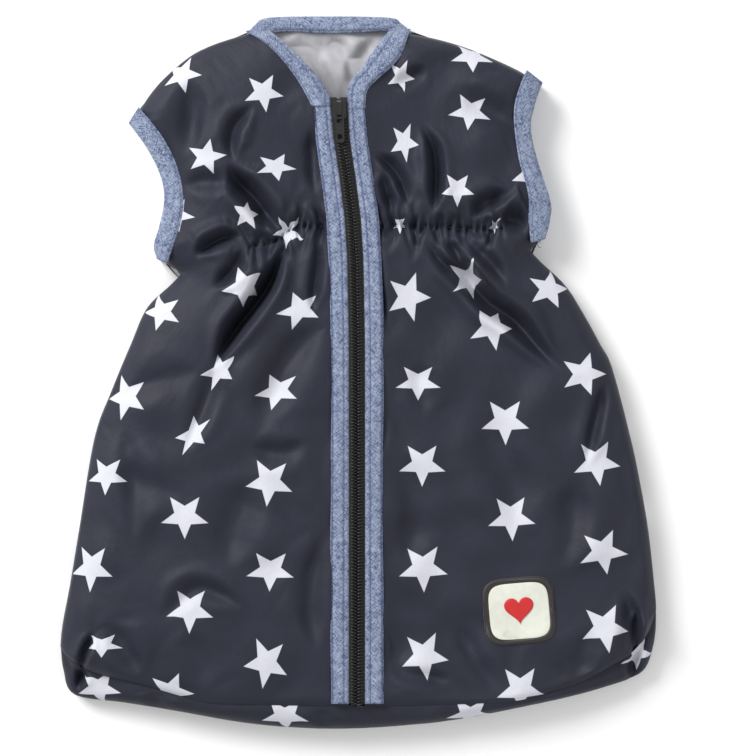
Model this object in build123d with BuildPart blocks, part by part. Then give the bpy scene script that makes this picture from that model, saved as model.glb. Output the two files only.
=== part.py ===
from math import cos, radians, sin
import os

from build123d import *

os.makedirs("parts", exist_ok=True)

# The bag lies on its back. X runs across it, Y up to the neck, Z up from the floor, all in millimetres.
CLOTH = 0.6
LINING = 0.5
WADDING = 3.9
BINDING = 0.9
BACK_TOP = CLOTH + WADDING + LINING
FRONT_TOP = 28.0
SHELL_UNDER = FRONT_TOP - CLOTH
WADDING_UNDER = SHELL_UNDER - WADDING
LINING_UNDER = WADDING_UNDER - LINING
WALL = CLOTH + WADDING
LINED_WALL = WALL + LINING
BINDING_TURN = 1.0
LEG_LIFT = 0.2
OUTLINE_STEP = 8.0

# Zip: half widths from its centre line
SLOT_HALF = 7.5
TAPE_NEAR = 0.9
TAPE_FAR = 8.0
BAND_NEAR = 4.8
BAND_FAR = 15.6
TAPE = 0.4
COIL_HALF = 3.0
COIL = 1.6
TOOTH_PITCH = 1.9
TOOTH = 0.72
TOOTH_REACH = 0.5
COIL_TOP = 158.4
SLOT_TOP = 173.4
SLOT_END = -199.8
ZIP_END = -199.4
FOLD_END = -191.5

# Slider
SLIDER_X = -11.15
SLIDER_Y = 156.75
SLIDER_TILT = 1.73
PLATE = 0.8
CLEARANCE = 0.4
LOWER_PLATE = FRONT_TOP - TAPE - CLEARANCE - 1.0
UPPER_PLATE = FRONT_TOP + COIL + CLEARANCE
CROWN_HALF = 1.3
CROWN_TOP = UPPER_PLATE + 2.8
PIVOT_Z = UPPER_PLATE + PLATE + 0.7
PULL_HALF = 2.7

# Fold lines of the two front flaps, from the neck to just above the base
LEFT_NECK = (-65.0, 203.4)
RIGHT_NECK = (29.0, 203.4)
LEFT_FOOT = (-5.8, FOLD_END)
RIGHT_FOOT = (4.6, FOLD_END)
FOLD_GAP = 0.1

ZIP_LINE = [(-11.8, 172.0), (-11.7, 163.2), (-9.6, 139.2), (-6.0, 115.2), (-3.0, 91.2), (-1.5, 67.2),
            (-0.6, 19.2), (-0.5, -76.8), (-0.6, -210.0)]


def zip_x(y):
    """The zip's centre at a height up the bag."""
    for (x1, y1), (x0, y0) in zip(ZIP_LINE, ZIP_LINE[1:]):
        if y >= y0:
            return x0 + (x1 - x0) * (y - y0) / (y1 - y0)
    return ZIP_LINE[-1][0]


def bag_outline():
    """Points round the bag as seen from above, with open corners at the neck and both armholes."""
    with BuildLine() as edge:
        Line((-67.8, 204.6), (-57.0, 214.2))
        Spline((-57.0, 214.2), (-19.0, 215.1), (19.2, 214.6))
        Line((19.2, 214.6), (31.8, 205.2))
        Spline((31.8, 205.2), (63.0, 196.8), (98.0, 181.5))
        Line((98.0, 181.5), (111.0, 174.6))
        Spline((111.0, 174.6), (103.8, 147.0), (115.8, 101.0), (103.2, 74.4))
        Spline((103.2, 74.4), (124.8, 52.8), (146.4, 16.8), (165.0, -40.8), (175.8, -98.4), (180.6, -141.6),
               (176.5, -176.0), (160.0, -197.0))
        ThreePointArc((160.0, -197.0), (-3.6, -215.1), (-171.6, -195.0))
        Spline((-171.6, -195.0), (-180.6, -168.0), (-174.0, -127.2), (-164.4, -69.6), (-149.4, -12.0),
               (-127.8, 38.4), (-106.8, 59.4))
        Line((-106.8, 59.4), (-119.4, 67.2))
        Spline((-119.4, 67.2), (-122.6, 76.0), (-116.2, 106.0), (-126.0, 134.0), (-138.0, 148.2))
        Line((-138.0, 148.2), (-131.4, 157.2))
        Spline((-131.4, 157.2), (-117.6, 175.2), (-90.0, 196.0), (-67.8, 204.6))
    points = []
    for part in edge.edges():
        steps = 1 if part.geom_type == GeomType.LINE else round(part.length / OUTLINE_STEP)
        points += [part.position_at(step / steps) for step in range(steps)]
    return points


BAG_OUTLINE = bag_outline()


def bag_prism(bottom, top, inset, mode=Mode.ADD):
    """A solid between two heights, drawn in from the bag's outline by the inset."""
    with BuildSketch(Plane.XY.offset(bottom)) as face:
        with BuildLine() as edge:
            Polyline(*BAG_OUTLINE, close=True)
        make_face(edge.edges())
        if inset:
            offset(amount=-inset, kind=Kind.INTERSECTION)
    extrude(face.sketch, amount=top - bottom, mode=mode)


def prism(points, bottom, top, mode=Mode.ADD):
    """A solid with straight sides between two heights."""
    with BuildSketch(Plane.XY.offset(bottom)) as face:
        with BuildLine() as edge:
            Polyline(*points, close=True)
        make_face(edge.edges())
    extrude(face.sketch, amount=top - bottom, mode=mode)



def strip(side, near, far, top, bottom, low, high, mode=Mode.ADD):
    """A strip that follows the zip on one side of it, between two distances from its centre."""
    heights = [top] + [y for _, y in ZIP_LINE if bottom < y < top] + [bottom]
    inner = [(zip_x(y) + side * near, y) for y in heights]
    outer = [(zip_x(y) + side * far, y) for y in reversed(heights)]
    prism(inner + outer, low, high, mode)


def keep(zone, mode=Mode.INTERSECT):
    """Cuts the solid being built down to a zone."""
    add(zone.part, mode=mode)


def finish(piece, name):
    piece.part.label = name
    export_step(piece.part, f"parts/{name}.step")


# Zones: what belongs to the base, to each side and to each flap

BASE_SEAM = [(-190.0, -160.0), (-179.0, -168.5), (-161.4, -180.0), (-141.0, -185.4), (-120.0, -190.2),
             (-102.6, -195.0), (-82.8, -198.6), (-16.8, -199.8), (17.4, -199.8), (81.6, -198.0),
             (110.4, -194.6), (131.0, -191.6), (151.2, -183.0), (164.6, -174.0), (176.0, -158.0),
             (190.0, -140.0)]

with BuildPart() as base_zone:
    prism(BASE_SEAM + [(190.0, -230.0), (-190.0, -230.0)], -1, 60)

with BuildPart() as left_flap_zone:
    prism([(LEFT_NECK[0] + FOLD_GAP, LEFT_NECK[1]), (LEFT_FOOT[0] + FOLD_GAP, LEFT_FOOT[1]),
           (zip_x(FOLD_END), FOLD_END), (zip_x(19.2), 19.2), (zip_x(67.2), 67.2), (zip_x(91.2), 91.2),
           (zip_x(115.2), 115.2), (zip_x(139.2), 139.2), (zip_x(163.2), 163.2), (-11.8, 203.4)], LINING_UNDER - BINDING, 60)

with BuildPart() as right_flap_zone:
    prism([(RIGHT_NECK[0] - FOLD_GAP, RIGHT_NECK[1]), (RIGHT_FOOT[0] - FOLD_GAP, RIGHT_FOOT[1]),
           (zip_x(FOLD_END), FOLD_END), (zip_x(19.2), 19.2), (zip_x(67.2), 67.2), (zip_x(91.2), 91.2),
           (zip_x(115.2), 115.2), (zip_x(139.2), 139.2), (zip_x(163.2), 163.2), (-11.8, 203.4)], LINING_UNDER - BINDING, 60)

with BuildPart() as left_side_zone:
    prism([(LEFT_NECK[0] - FOLD_GAP, 240.0), (LEFT_NECK[0] - FOLD_GAP, LEFT_NECK[1]),
           (LEFT_FOOT[0] - FOLD_GAP, LEFT_FOOT[1]), (LEFT_FOOT[0] - FOLD_GAP, FOLD_END - 0.2),
           (-0.6, FOLD_END - 0.2), (-0.6, -230.0), (-190.0, -230.0), (-190.0, 240.0)], -1, 60)
    keep(base_zone, Mode.SUBTRACT)

with BuildPart() as right_side_zone:
    prism([(RIGHT_NECK[0] + FOLD_GAP, 240.0), (RIGHT_NECK[0] + FOLD_GAP, RIGHT_NECK[1]),
           (RIGHT_FOOT[0] + FOLD_GAP, RIGHT_FOOT[1]), (RIGHT_FOOT[0] + FOLD_GAP, FOLD_END - 0.2),
           (-0.6, FOLD_END - 0.2), (-0.6, -230.0), (190.0, -230.0), (190.0, 240.0)], -1, 60)
    keep(base_zone, Mode.SUBTRACT)

# Openings that every layer keeps clear: the front of the neck and the two armholes

FRONT_NECK = [(-52.8, 203.4), (-34.8, 188.4), (-24.0, 176.4), (-19.2, 168.0), (-16.6, 163.4), (-6.8, 163.4),
              (-5.4, 172.2), (2.4, 182.4), (21.6, 203.4)]

with BuildPart() as neck_opening:
    prism(FRONT_NECK, BACK_TOP + BINDING, 60)
    prism([(-90.0, 203.4), (60.0, 203.4), (60.0, 240.0), (-90.0, 240.0)], BACK_TOP, 60)

with BuildPart() as left_arm_opening:
    prism([(-145.0, 143.0), (-124.0, 143.0), (-108.0, 125.0), (-101.5, 104.0), (-105.0, 88.0), (-109.0, 75.5),
           (-145.0, 75.5)], BACK_TOP + BINDING, LINING_UNDER - BINDING)

with BuildPart() as right_arm_opening:
    prism([(125.0, 166.0), (99.0, 168.0), (91.0, 148.0), (94.0, 128.0), (98.0, 108.0), (100.0, 88.0),
           (125.0, 86.0)], BACK_TOP + BINDING, LINING_UNDER - BINDING)

# Bindings: strips of cloth folded round the raw edges, a leg above and a leg below the layers they hold


def layer_core(mode):
    """The room that a binding leaves for the layers between its legs."""
    bag_prism(LEG_LIFT + CLOTH, BACK_TOP, BINDING_TURN, mode)
    bag_prism(LINING_UNDER, FRONT_TOP, BINDING_TURN, mode)


LEFT_ARM_STRIP = [(-131.4, 162.0), (-119.0, 143.0), (-109.5, 124.0), (-105.5, 104.0), (-107.5, 88.0),
                  (-112.0, 75.0), (-115.8, 64.8), (-128.0, 60.0), (-150.0, 75.0), (-150.0, 162.0)]
RIGHT_ARM_STRIP = [(100.8, 186.0), (94.2, 153.6), (97.2, 128.0), (103.0, 106.0), (103.0, 90.0), (106.0, 77.6),
                   (125.0, 77.6), (125.0, 186.0)]
BACK_NECK_STRIP = [(-80.0, 204.4), (50.0, 204.4), (50.0, 230.0), (-80.0, 230.0)]

with BuildPart() as left_armhole_binding:
    bag_prism(LEG_LIFT, FRONT_TOP + BINDING, 0)
    prism(LEFT_ARM_STRIP, -1, 60, Mode.INTERSECT)
    layer_core(Mode.SUBTRACT)
    keep(left_arm_opening, Mode.SUBTRACT)

with BuildPart() as right_armhole_binding:
    bag_prism(LEG_LIFT, FRONT_TOP + BINDING, 0)
    prism(RIGHT_ARM_STRIP, -1, 60, Mode.INTERSECT)
    layer_core(Mode.SUBTRACT)
    keep(right_arm_opening, Mode.SUBTRACT)

with BuildPart() as back_neck_binding:
    bag_prism(LEG_LIFT, BACK_TOP + BINDING, 0)
    prism(BACK_NECK_STRIP, -1, 60, Mode.INTERSECT)
    layer_core(Mode.SUBTRACT)

with BuildPart() as back_strips:
    prism(LEFT_ARM_STRIP, -1, CLOTH)
    prism(RIGHT_ARM_STRIP, -1, CLOTH)
    prism(BACK_NECK_STRIP, -1, CLOTH)

LEFT_NECK_STRIP = [(-66.0, 203.3), (-43.8, 184.8), (-34.8, 172.2), (-29.0, 160.4), (-15.6, 164.0),
                   (-19.2, 168.0), (-24.0, 176.4), (-34.8, 188.4), (-52.8, 203.3)]
LEFT_NECK_CORE = [(-70.0, 203.4), (-43.8, 170.0), (-29.0, 150.0), (-17.2, 162.6), (-20.2, 167.6), (-25.0, 175.8),
                  (-35.6, 187.4), (-54.4, 203.4)]
RIGHT_NECK_STRIP = [(28.8, 203.3), (25.2, 188.4), (12.0, 175.2), (3.6, 168.0), (-5.6, 170.6), (-5.4, 172.2),
                    (2.4, 182.4), (21.6, 203.3)]
RIGHT_NECK_CORE = [(40.0, 203.4), (40.0, 160.0), (-4.4, 160.0), (-4.4, 171.8), (3.2, 181.6), (23.2, 203.4)]

with BuildPart() as left_neck_binding:
    prism(LEFT_NECK_STRIP, LINING_UNDER - BINDING, FRONT_TOP + BINDING)
    prism(LEFT_NECK_CORE, LINING_UNDER, FRONT_TOP, Mode.SUBTRACT)
    keep(left_flap_zone)

with BuildPart() as right_neck_binding:
    prism(RIGHT_NECK_STRIP, LINING_UNDER - BINDING, FRONT_TOP + BINDING)
    prism(RIGHT_NECK_CORE, LINING_UNDER, FRONT_TOP, Mode.SUBTRACT)
    keep(right_flap_zone)


def clear_of_edges():
    """Takes away what the openings and the bindings need from a front layer."""
    keep(neck_opening, Mode.SUBTRACT)
    keep(back_neck_binding, Mode.SUBTRACT)
    keep(left_arm_opening, Mode.SUBTRACT)
    keep(right_arm_opening, Mode.SUBTRACT)
    keep(left_armhole_binding, Mode.SUBTRACT)
    keep(right_armhole_binding, Mode.SUBTRACT)
    keep(left_neck_binding, Mode.SUBTRACT)
    keep(right_neck_binding, Mode.SUBTRACT)


# The back panel: shell on the floor, wadding, lining

with BuildPart() as back_shell:
    bag_prism(0, CLOTH, 0)
    keep(back_strips, Mode.SUBTRACT)

with BuildPart() as back_wadding:
    bag_prism(CLOTH, CLOTH + WADDING, CLOTH)
    keep(left_armhole_binding, Mode.SUBTRACT)
    keep(right_armhole_binding, Mode.SUBTRACT)
    keep(back_neck_binding, Mode.SUBTRACT)

with BuildPart() as back_lining:
    bag_prism(CLOTH + WADDING, BACK_TOP, CLOTH)
    keep(left_armhole_binding, Mode.SUBTRACT)
    keep(right_armhole_binding, Mode.SUBTRACT)
    keep(back_neck_binding, Mode.SUBTRACT)

# The waist elastics, sewn between the front wadding and its lining

LEFT_ELASTIC = [(-63.6, 73.2), (-46.8, 77.6), (-37.2, 84.6), (-18.0, 84.6), (-18.0, 89.6), (-38.4, 89.6),
                (-48.6, 82.2), (-63.6, 78.2)]
RIGHT_ELASTIC = [(13.2, 84.6), (50.4, 84.6), (70.0, 82.8), (84.0, 84.0), (84.0, 89.0), (70.0, 87.8), (50.4, 89.6),
                 (13.2, 89.6)]
ELASTIC = 0.8

with BuildPart() as elastic_bands:
    prism(LEFT_ELASTIC, WADDING_UNDER, WADDING_UNDER + ELASTIC)
    prism(RIGHT_ELASTIC, WADDING_UNDER, WADDING_UNDER + ELASTIC)

# The front layers whole, before they are shared out between the sides, the flaps and the base

with BuildPart() as front_shell:
    bag_prism(CLOTH, FRONT_TOP, 0)
    bag_prism(CLOTH, SHELL_UNDER, CLOTH, Mode.SUBTRACT)
    for side in (-1, 1):
        strip(side, -0.1, TAPE_FAR + 0.1, SLOT_TOP, SLOT_END, CLOTH + 1, 60, Mode.SUBTRACT)
    clear_of_edges()

with BuildPart() as front_wadding:
    bag_prism(BACK_TOP, SHELL_UNDER, CLOTH)
    bag_prism(BACK_TOP, WADDING_UNDER, WALL, Mode.SUBTRACT)
    for side in (-1, 1):
        strip(side, -0.1, SLOT_HALF, SLOT_TOP, SLOT_END, BACK_TOP, 60, Mode.SUBTRACT)
    keep(elastic_bands, Mode.SUBTRACT)
    clear_of_edges()

with BuildPart() as front_lining:
    bag_prism(BACK_TOP, WADDING_UNDER, WALL)
    bag_prism(BACK_TOP, LINING_UNDER, LINED_WALL, Mode.SUBTRACT)
    for side in (-1, 1):
        strip(side, -0.1, SLOT_HALF, SLOT_TOP, SLOT_END, BACK_TOP, 60, Mode.SUBTRACT)
    clear_of_edges()

ZONES = {"left_side": left_side_zone, "right_side": right_side_zone, "left_flap": left_flap_zone,
         "right_flap": right_flap_zone}

for layer, source in (("shell", front_shell), ("wadding", front_wadding), ("lining", front_lining)):
    for zone_name, zone in list(ZONES.items()) + [("base", base_zone)]:
        with BuildPart() as piece:
            add(source.part)
            keep(zone)
        finish(piece, f"{zone_name}_{layer}")

for zone_name, zone in ZONES.items():
    with BuildPart() as elastic:
        add(elastic_bands.part)
        keep(zone)
    finish(elastic, f"{zone_name}_elastic")

finish(back_shell, "back_shell")
finish(back_wadding, "back_wadding")
finish(back_lining, "back_lining")
finish(left_armhole_binding, "left_armhole_binding")
finish(right_armhole_binding, "right_armhole_binding")
finish(back_neck_binding, "back_neck_binding")
finish(left_neck_binding, "left_neck_binding")
finish(right_neck_binding, "right_neck_binding")

# Zip bands, tapes and coils, each cut by the fold line of its flap


def tooth_comb(side, top, bottom, phase):
    """One half of the coil: a back strip with teeth that reach just past the centre line."""
    back = COIL_HALF - 1.0
    heights = [top] + [y for _, y in ZIP_LINE if bottom < y < top] + [bottom]
    outline = [(zip_x(y) + side * COIL_HALF, y) for y in reversed(heights)]
    outline.append((zip_x(top) + side * back, top))
    count = int((top - bottom - TOOTH_PITCH) / TOOTH_PITCH)
    for tooth in range(count):
        upper = top - (tooth + phase) * TOOTH_PITCH
        lower = upper - TOOTH
        tip = zip_x(upper) - side * TOOTH_REACH
        foot = zip_x(upper) + side * back
        outline += [(foot, upper), (tip, upper), (tip, lower), (foot, lower)]
    outline.append((zip_x(bottom) + side * back, bottom))
    prism(outline, FRONT_TOP, FRONT_TOP + COIL)


for side, name, phase in ((-1, "left", 0.3), (1, "right", 0.8)):
    for part_name, zone in ((f"{name}_flap", ZONES[f"{name}_flap"]), (f"{name}_side", ZONES[f"{name}_side"])):
        with BuildPart() as zip_band:
            strip(side, BAND_NEAR, BAND_FAR, 156.6, ZIP_END, FRONT_TOP, FRONT_TOP + BINDING)
            keep(zone)
        finish(zip_band, f"{part_name}_zip_band")
        with BuildPart() as zip_tape:
            strip(side, TAPE_NEAR, TAPE_FAR, COIL_TOP, ZIP_END, FRONT_TOP - TAPE, FRONT_TOP)
            strip(side, 1.6, TAPE_FAR, 162.2, COIL_TOP, FRONT_TOP - TAPE, FRONT_TOP)
            keep(zone)
        finish(zip_tape, f"{part_name}_zip_tape")
    with BuildPart() as coil:
        tooth_comb(side, COIL_TOP, FOLD_END + 0.3, phase)
    finish(coil, f"{name}_flap_coil")
    with BuildPart() as coil_end:
        tooth_comb(side, FOLD_END - 0.4, ZIP_END, phase)
    finish(coil_end, f"{name}_side_coil")

# The slider, set square to the path it travels

slider_place = Location((SLIDER_X, SLIDER_Y, 0), (0, 0, SLIDER_TILT))
BODY_SHAPE = [(-3.4, 6.15), (3.4, 6.15), (4.2, 4.4), (4.2, -4.6), (3.0, -6.15), (-3.0, -6.15), (-4.2, -4.6),
              (-4.2, 4.4)]
with BuildPart() as slider_body:
    prism(BODY_SHAPE, LOWER_PLATE, LOWER_PLATE + 1.0)
    prism(BODY_SHAPE, UPPER_PLATE, UPPER_PLATE + PLATE)
    prism([(-1.0, 5.6), (1.0, 5.6), (1.0, 3.4), (0.0, 2.4), (-1.0, 3.4)], LOWER_PLATE + 1.0, UPPER_PLATE)
    for side in (-1, 1):
        prism([(side * 4.2, 4.4), (side * 4.2, -4.6), (side * 3.45, -4.6), (side * 3.45, 4.4)],
              FRONT_TOP + CLEARANCE, UPPER_PLATE)
slider_body.part.locate(slider_place)
finish(slider_body, "slider_body")

with BuildPart() as slider_crown:
    with BuildSketch(Plane.YZ.offset(-CROWN_HALF)):
        with BuildLine():
            Polyline((-4.6, UPPER_PLATE + PLATE), (-4.6, PIVOT_Z), (-3.8, CROWN_TOP), (3.8, CROWN_TOP),
                     (5.0, PIVOT_Z), (5.0, UPPER_PLATE + PLATE), (3.8, UPPER_PLATE + PLATE), (3.4, PIVOT_Z + 0.6),
                     (-3.2, PIVOT_Z + 0.6), (-3.4, UPPER_PLATE + PLATE), close=True)
        make_face()
    extrude(amount=2 * CROWN_HALF)
slider_crown.part.locate(slider_place)
finish(slider_crown, "slider_crown")

PIVOT_Y = -2.4
PULL_LOW = PIVOT_Z - 0.45
PULL_HIGH = PIVOT_Z + 0.45
with BuildPart() as pull_tab:
    with Locations((0, PIVOT_Y, PIVOT_Z)):
        Cylinder(0.45, 2 * PULL_HALF, rotation=(0, 90, 0))
    for side in (-1, 1):
        prism([(side * 1.7, PIVOT_Y + 0.45), (side * PULL_HALF, PIVOT_Y + 0.45), (side * PULL_HALF, -9.4),
               (side * 1.7, -9.4)], PULL_LOW, PULL_HIGH)
    prism([(-PULL_HALF, -8.4), (PULL_HALF, -8.4), (PULL_HALF, -18.8), (1.6, -20.2), (-1.6, -20.2),
           (-PULL_HALF, -18.8)], PULL_LOW, PULL_HIGH)
    prism([(-1.4, -15.2), (1.4, -15.2), (1.4, -18.2), (-1.4, -18.2)], PULL_LOW - 1, PULL_HIGH + 1, Mode.SUBTRACT)
pull_tab.part.locate(slider_place)
finish(pull_tab, "pull_tab")

# The patch on the right side: frame, face and a plain heart

patch_place = Location((96.5, -143.0, 0), (0, 0, 5))
with BuildPart() as patch_frame:
    with BuildSketch(Plane.XY.offset(FRONT_TOP)):
        RectangleRounded(43.0, 40.0, 6.0)
    extrude(amount=0.8)
patch_frame.part.locate(patch_place)
finish(patch_frame, "patch_frame")

with BuildPart() as patch_face:
    with BuildSketch(Plane.XY.offset(FRONT_TOP + 0.8)):
        RectangleRounded(36.6, 34.2, 4.4)
    extrude(amount=0.4)
patch_face.part.locate(patch_place)
finish(patch_face, "patch_face")

with BuildPart() as patch_heart:
    with BuildSketch(Plane.XY.offset(FRONT_TOP + 1.2)):
        with BuildLine():
            ThreePointArc((0, 5.0), (-3.4, 8.6), (-8.4, 6.4))
            ThreePointArc((-8.4, 6.4), (-8.6, -0.6), (0, -8.6))
            ThreePointArc((0, -8.6), (8.6, -0.6), (8.4, 6.4))
            ThreePointArc((8.4, 6.4), (3.4, 8.6), (0, 5.0))
        make_face()
    extrude(amount=0.4)
patch_heart.part.locate(patch_place)
finish(patch_heart, "patch_heart")
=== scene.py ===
import math

import bmesh
import bpy
import numpy as np
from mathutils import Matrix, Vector
from mathutils.bvhtree import BVHTree


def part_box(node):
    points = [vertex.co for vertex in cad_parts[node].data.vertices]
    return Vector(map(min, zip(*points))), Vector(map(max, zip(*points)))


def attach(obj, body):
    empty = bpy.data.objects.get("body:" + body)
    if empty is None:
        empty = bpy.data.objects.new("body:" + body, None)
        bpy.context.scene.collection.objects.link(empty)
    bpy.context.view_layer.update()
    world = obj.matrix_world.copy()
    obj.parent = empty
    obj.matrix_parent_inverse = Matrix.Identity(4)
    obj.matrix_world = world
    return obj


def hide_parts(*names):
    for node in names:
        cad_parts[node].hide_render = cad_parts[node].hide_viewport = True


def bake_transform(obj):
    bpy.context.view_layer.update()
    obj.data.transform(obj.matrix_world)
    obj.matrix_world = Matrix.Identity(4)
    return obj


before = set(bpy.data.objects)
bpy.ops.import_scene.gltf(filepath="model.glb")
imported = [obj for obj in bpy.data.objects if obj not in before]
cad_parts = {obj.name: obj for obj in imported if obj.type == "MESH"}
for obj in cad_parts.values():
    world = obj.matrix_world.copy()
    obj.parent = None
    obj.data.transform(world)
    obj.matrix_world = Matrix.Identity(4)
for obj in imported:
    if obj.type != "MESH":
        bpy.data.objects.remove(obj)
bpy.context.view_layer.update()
MM = 0.001
SIDES = {"left": -1, "right": 1}  # which way each half lies from the zip, seen from the front

plain = bpy.data.materials.new("plain")


def cad_box(node):
    """Lowest and highest corner of a CAD node, in millimetres."""
    return tuple(np.array(corner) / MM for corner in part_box(node))


SHELL_TOP = cad_box("left_side_shell")[1][2]
BAND_FOOT = cad_box("left_side_zip_band")[0][1]
BAND_TOP = cad_box("left_flap_zip_band")[1][2] - 0.2
TAPE_TOP = cad_box("left_flap_zip_tape")[1][2]
COIL_HEAD = cad_box("left_flap_coil")[1][1]
COIL_LOW, COIL_HIGH = (corner[2] for corner in cad_box("left_flap_coil"))
WAIST = np.mean([corner[1] for corner in cad_box("right_flap_elastic")])
PATCH = np.mean(cad_box("patch_frame"), axis=0)[:2]

# ---------------------------------------------------------------- curves and grids, in millimetres


def smooth_path(points, step=2.0):
    """A smooth curve through the points, sampled about every step."""
    p = np.array(points, float)
    if p.shape[1] == 2:
        p = np.column_stack([p, np.zeros(len(p))])
    ends = np.vstack([2 * p[0] - p[1], p, 2 * p[-1] - p[-2]])
    out = []
    for i in range(1, len(ends) - 2):
        a, b, c, d = ends[i - 1 : i + 3]
        count = max(1, int(np.linalg.norm(c - b) / step))
        for t in np.arange(count) / count:
            bend = (2 * a - 5 * b + 4 * c - d) * t**2 + (3 * b - a - 3 * c + d) * t**3
            out.append(0.5 * (2 * b + (c - a) * t + bend))
    out.append(p[-1])
    return np.array(out)


def even(path, count):
    """The same path with evenly spaced points."""
    steps = np.linalg.norm(np.diff(path, axis=0), axis=1)
    along = np.concatenate([[0], np.cumsum(steps)])
    want = np.linspace(0, along[-1], count)
    return np.column_stack([np.interp(want, along, path[:, k]) for k in range(path.shape[1])])


def spread(values, count):
    """The same run of values with another number of samples."""
    return np.interp(np.linspace(0, 1, count), np.linspace(0, 1, len(values)), values)


def joined(*parts, step=2.0):
    """Smooth stretches joined at corners."""
    curves = [smooth_path(p, step) for p in parts]
    return np.vstack([c if i == 0 else c[1:] for i, c in enumerate(curves)])


def coons(near, far, first, last, nu, nv):
    """A grid of points between four edges that share their corners."""
    near, far = even(near, nv), even(far, nv)
    first, last = even(first, nu), even(last, nu)
    u = np.linspace(0, 1, nu)[None, :, None]
    v = np.linspace(0, 1, nv)[:, None, None]
    across = near[:, None] * (1 - u) + far[:, None] * u
    down = first[None] * (1 - v) + last[None] * v
    corners = (
        near[0] * (1 - u) * (1 - v) + far[0] * u * (1 - v) + near[-1] * (1 - u) * v + far[-1] * u * v
    )
    return across + down - corners


def ease(x):
    x = np.clip(x, 0, 1)
    return x * x * (3 - 2 * x)


def path_distance(points, path):
    """Distance in plan from each point to a path, how far along it that is, and on which side."""
    shape = points.shape[:-1]
    p = points.reshape(-1, points.shape[-1])[:, :2]
    best = np.full(len(p), 1e9)
    place = np.zeros(len(p))
    side = np.ones(len(p))
    lengths = np.linalg.norm(np.diff(path[:, :2], axis=0), axis=1)
    total = lengths.sum()
    run = 0.0
    for a, b, length in zip(path[:-1, :2], path[1:, :2], lengths):
        if length < 1e-9:
            continue
        d = b - a
        t = np.clip(((p - a) @ d) / length**2, 0, 1)
        gap = p - (a + t[:, None] * d)
        dist = np.hypot(gap[:, 0], gap[:, 1])
        nearer = dist < best
        best[nearer] = dist[nearer]
        place[nearer] = (run + t[nearer] * length) / total
        side[nearer] = np.sign(d[0] * gap[nearer, 1] - d[1] * gap[nearer, 0])
        run += length
    return best.reshape(shape), place.reshape(shape), side.reshape(shape)


# The bag's lines seen from above. Left and right are as seen from the front.
ZIP_LINE = [(-11.8, 172.0), (-11.7, 163.2), (-9.6, 139.2), (-6.0, 115.2), (-3.0, 91.2), (-1.5, 67.2),
            (-0.6, 19.2), (-0.5, -76.8), (-0.6, -210.0)]
ZIP_Y = np.array([p[1] for p in ZIP_LINE][::-1])
ZIP_X = np.array([p[0] for p in ZIP_LINE][::-1])


def zip_x(y):
    return np.interp(y, ZIP_Y, ZIP_X)


FOOT_END = -199.8  # where the zip meets the seam over the foot
ZIP_STATIONS = (150.0, 139.0, 127.0, 115.0, 103.0, 91.0, 79.0, 67.0, 43.0, 19.0, -30.0, -77.0, -140.0,
                FOOT_END)


def beside_zip(side, away):
    return [(zip_x(y) + side * away, y) for y in ZIP_STATIONS]


ARM = {
    "left": [
        (-134.6, 152.6), (-136.6, 148.4), (-127.2, 137.2), (-119.0, 123.6), (-115.6, 106.0),
        (-117.0, 92.0), (-120.4, 80.0), (-121.6, 73.0), (-118.0, 67.6),
    ],
    "right": [
        (109.4, 173.6), (105.6, 160.0), (103.0, 147.0), (105.0, 134.0), (109.8, 120.0),
        (113.6, 108.0), (114.8, 99.6), (113.2, 88.0), (109.0, 79.6),
    ],
}
FLANK = {
    "left": [
        (-106.8, 59.4), (-113.5, 52.6), (-127.8, 38.4), (-137.4, 16.8), (-149.4, -12.0),
        (-159.6, -40.8), (-169.2, -98.4), (-174.0, -127.2), (-178.6, -152.0), (-180.2, -166.0),
    ],
    "right": [
        (104.0, 73.4), (109.8, 67.2), (124.8, 52.8), (134.4, 38.4), (146.4, 16.8), (153.6, 2.4),
        (165.0, -40.8), (171.0, -69.6), (175.8, -98.4), (180.4, -141.6),
    ],
}
SEAM = {
    "left": [
        (-6.0, -199.8), (-16.8, -199.8), (-82.8, -198.6), (-102.6, -195.0), (-120.0, -190.2),
        (-141.0, -185.4), (-161.4, -180.0), (-173.0, -173.6), (-180.2, -166.0),
    ],
    "right": [
        (5.0, -199.8), (17.4, -199.8), (81.6, -198.0), (106.0, -194.6), (133.0, -186.4),
        (151.0, -177.6), (164.6, -169.0), (175.0, -156.6), (180.4, -141.6),
    ],
}
SHOULDER = {
    "left": [
        (-64.0, 204.6), (-77.0, 201.0), (-90.0, 196.4), (-102.0, 190.0), (-117.6, 176.6),
        (-127.0, 165.0), (-134.6, 152.6),
    ],
    "right": [
        (27.0, 204.6), (45.0, 201.4), (63.0, 196.4), (81.0, 189.2), (98.0, 181.2), (109.4, 173.6),
    ],
}
V_NECK = {
    "left": [
        (-64.0, 204.6), (-54.0, 200.0), (-37.0, 186.8), (-26.4, 174.6), (-21.4, 165.0),
        (-19.0, 157.0),
    ],
    "right": [
        (27.0, 204.6), (19.0, 198.0), (4.2, 181.4), (-3.6, 171.4), (-4.6, 164.0), (-4.4, 157.0),
    ],
}
BAND_INNER, BAND_OUTER = 4.6, 15.7  # the edges of a zip band, from the middle of the zip
NECK_TOP = [(-64.0, 204.6), (-56.0, 211.6), (-38.0, 213.8), (-19.0, 214.0), (6.0, 213.8), (19.2, 212.0),
            (27.0, 204.6)]
WAIST_LINE = {
    "left": smooth_path([(-17.0, WAIST), (-37.2, WAIST), (-47.6, 80.0), (-64.0, 75.6)]),
    "right": smooth_path([(12.0, WAIST), (50.4, WAIST), (60.0, 85.8), (72.0, 85.4), (86.0, 86.4)]),
}

# ---------------------------------------------------------------- the height of the front

SEAM_HEIGHT = 9.0  # of the seam between front and back
TOP = SHELL_TOP - 1.0
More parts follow.
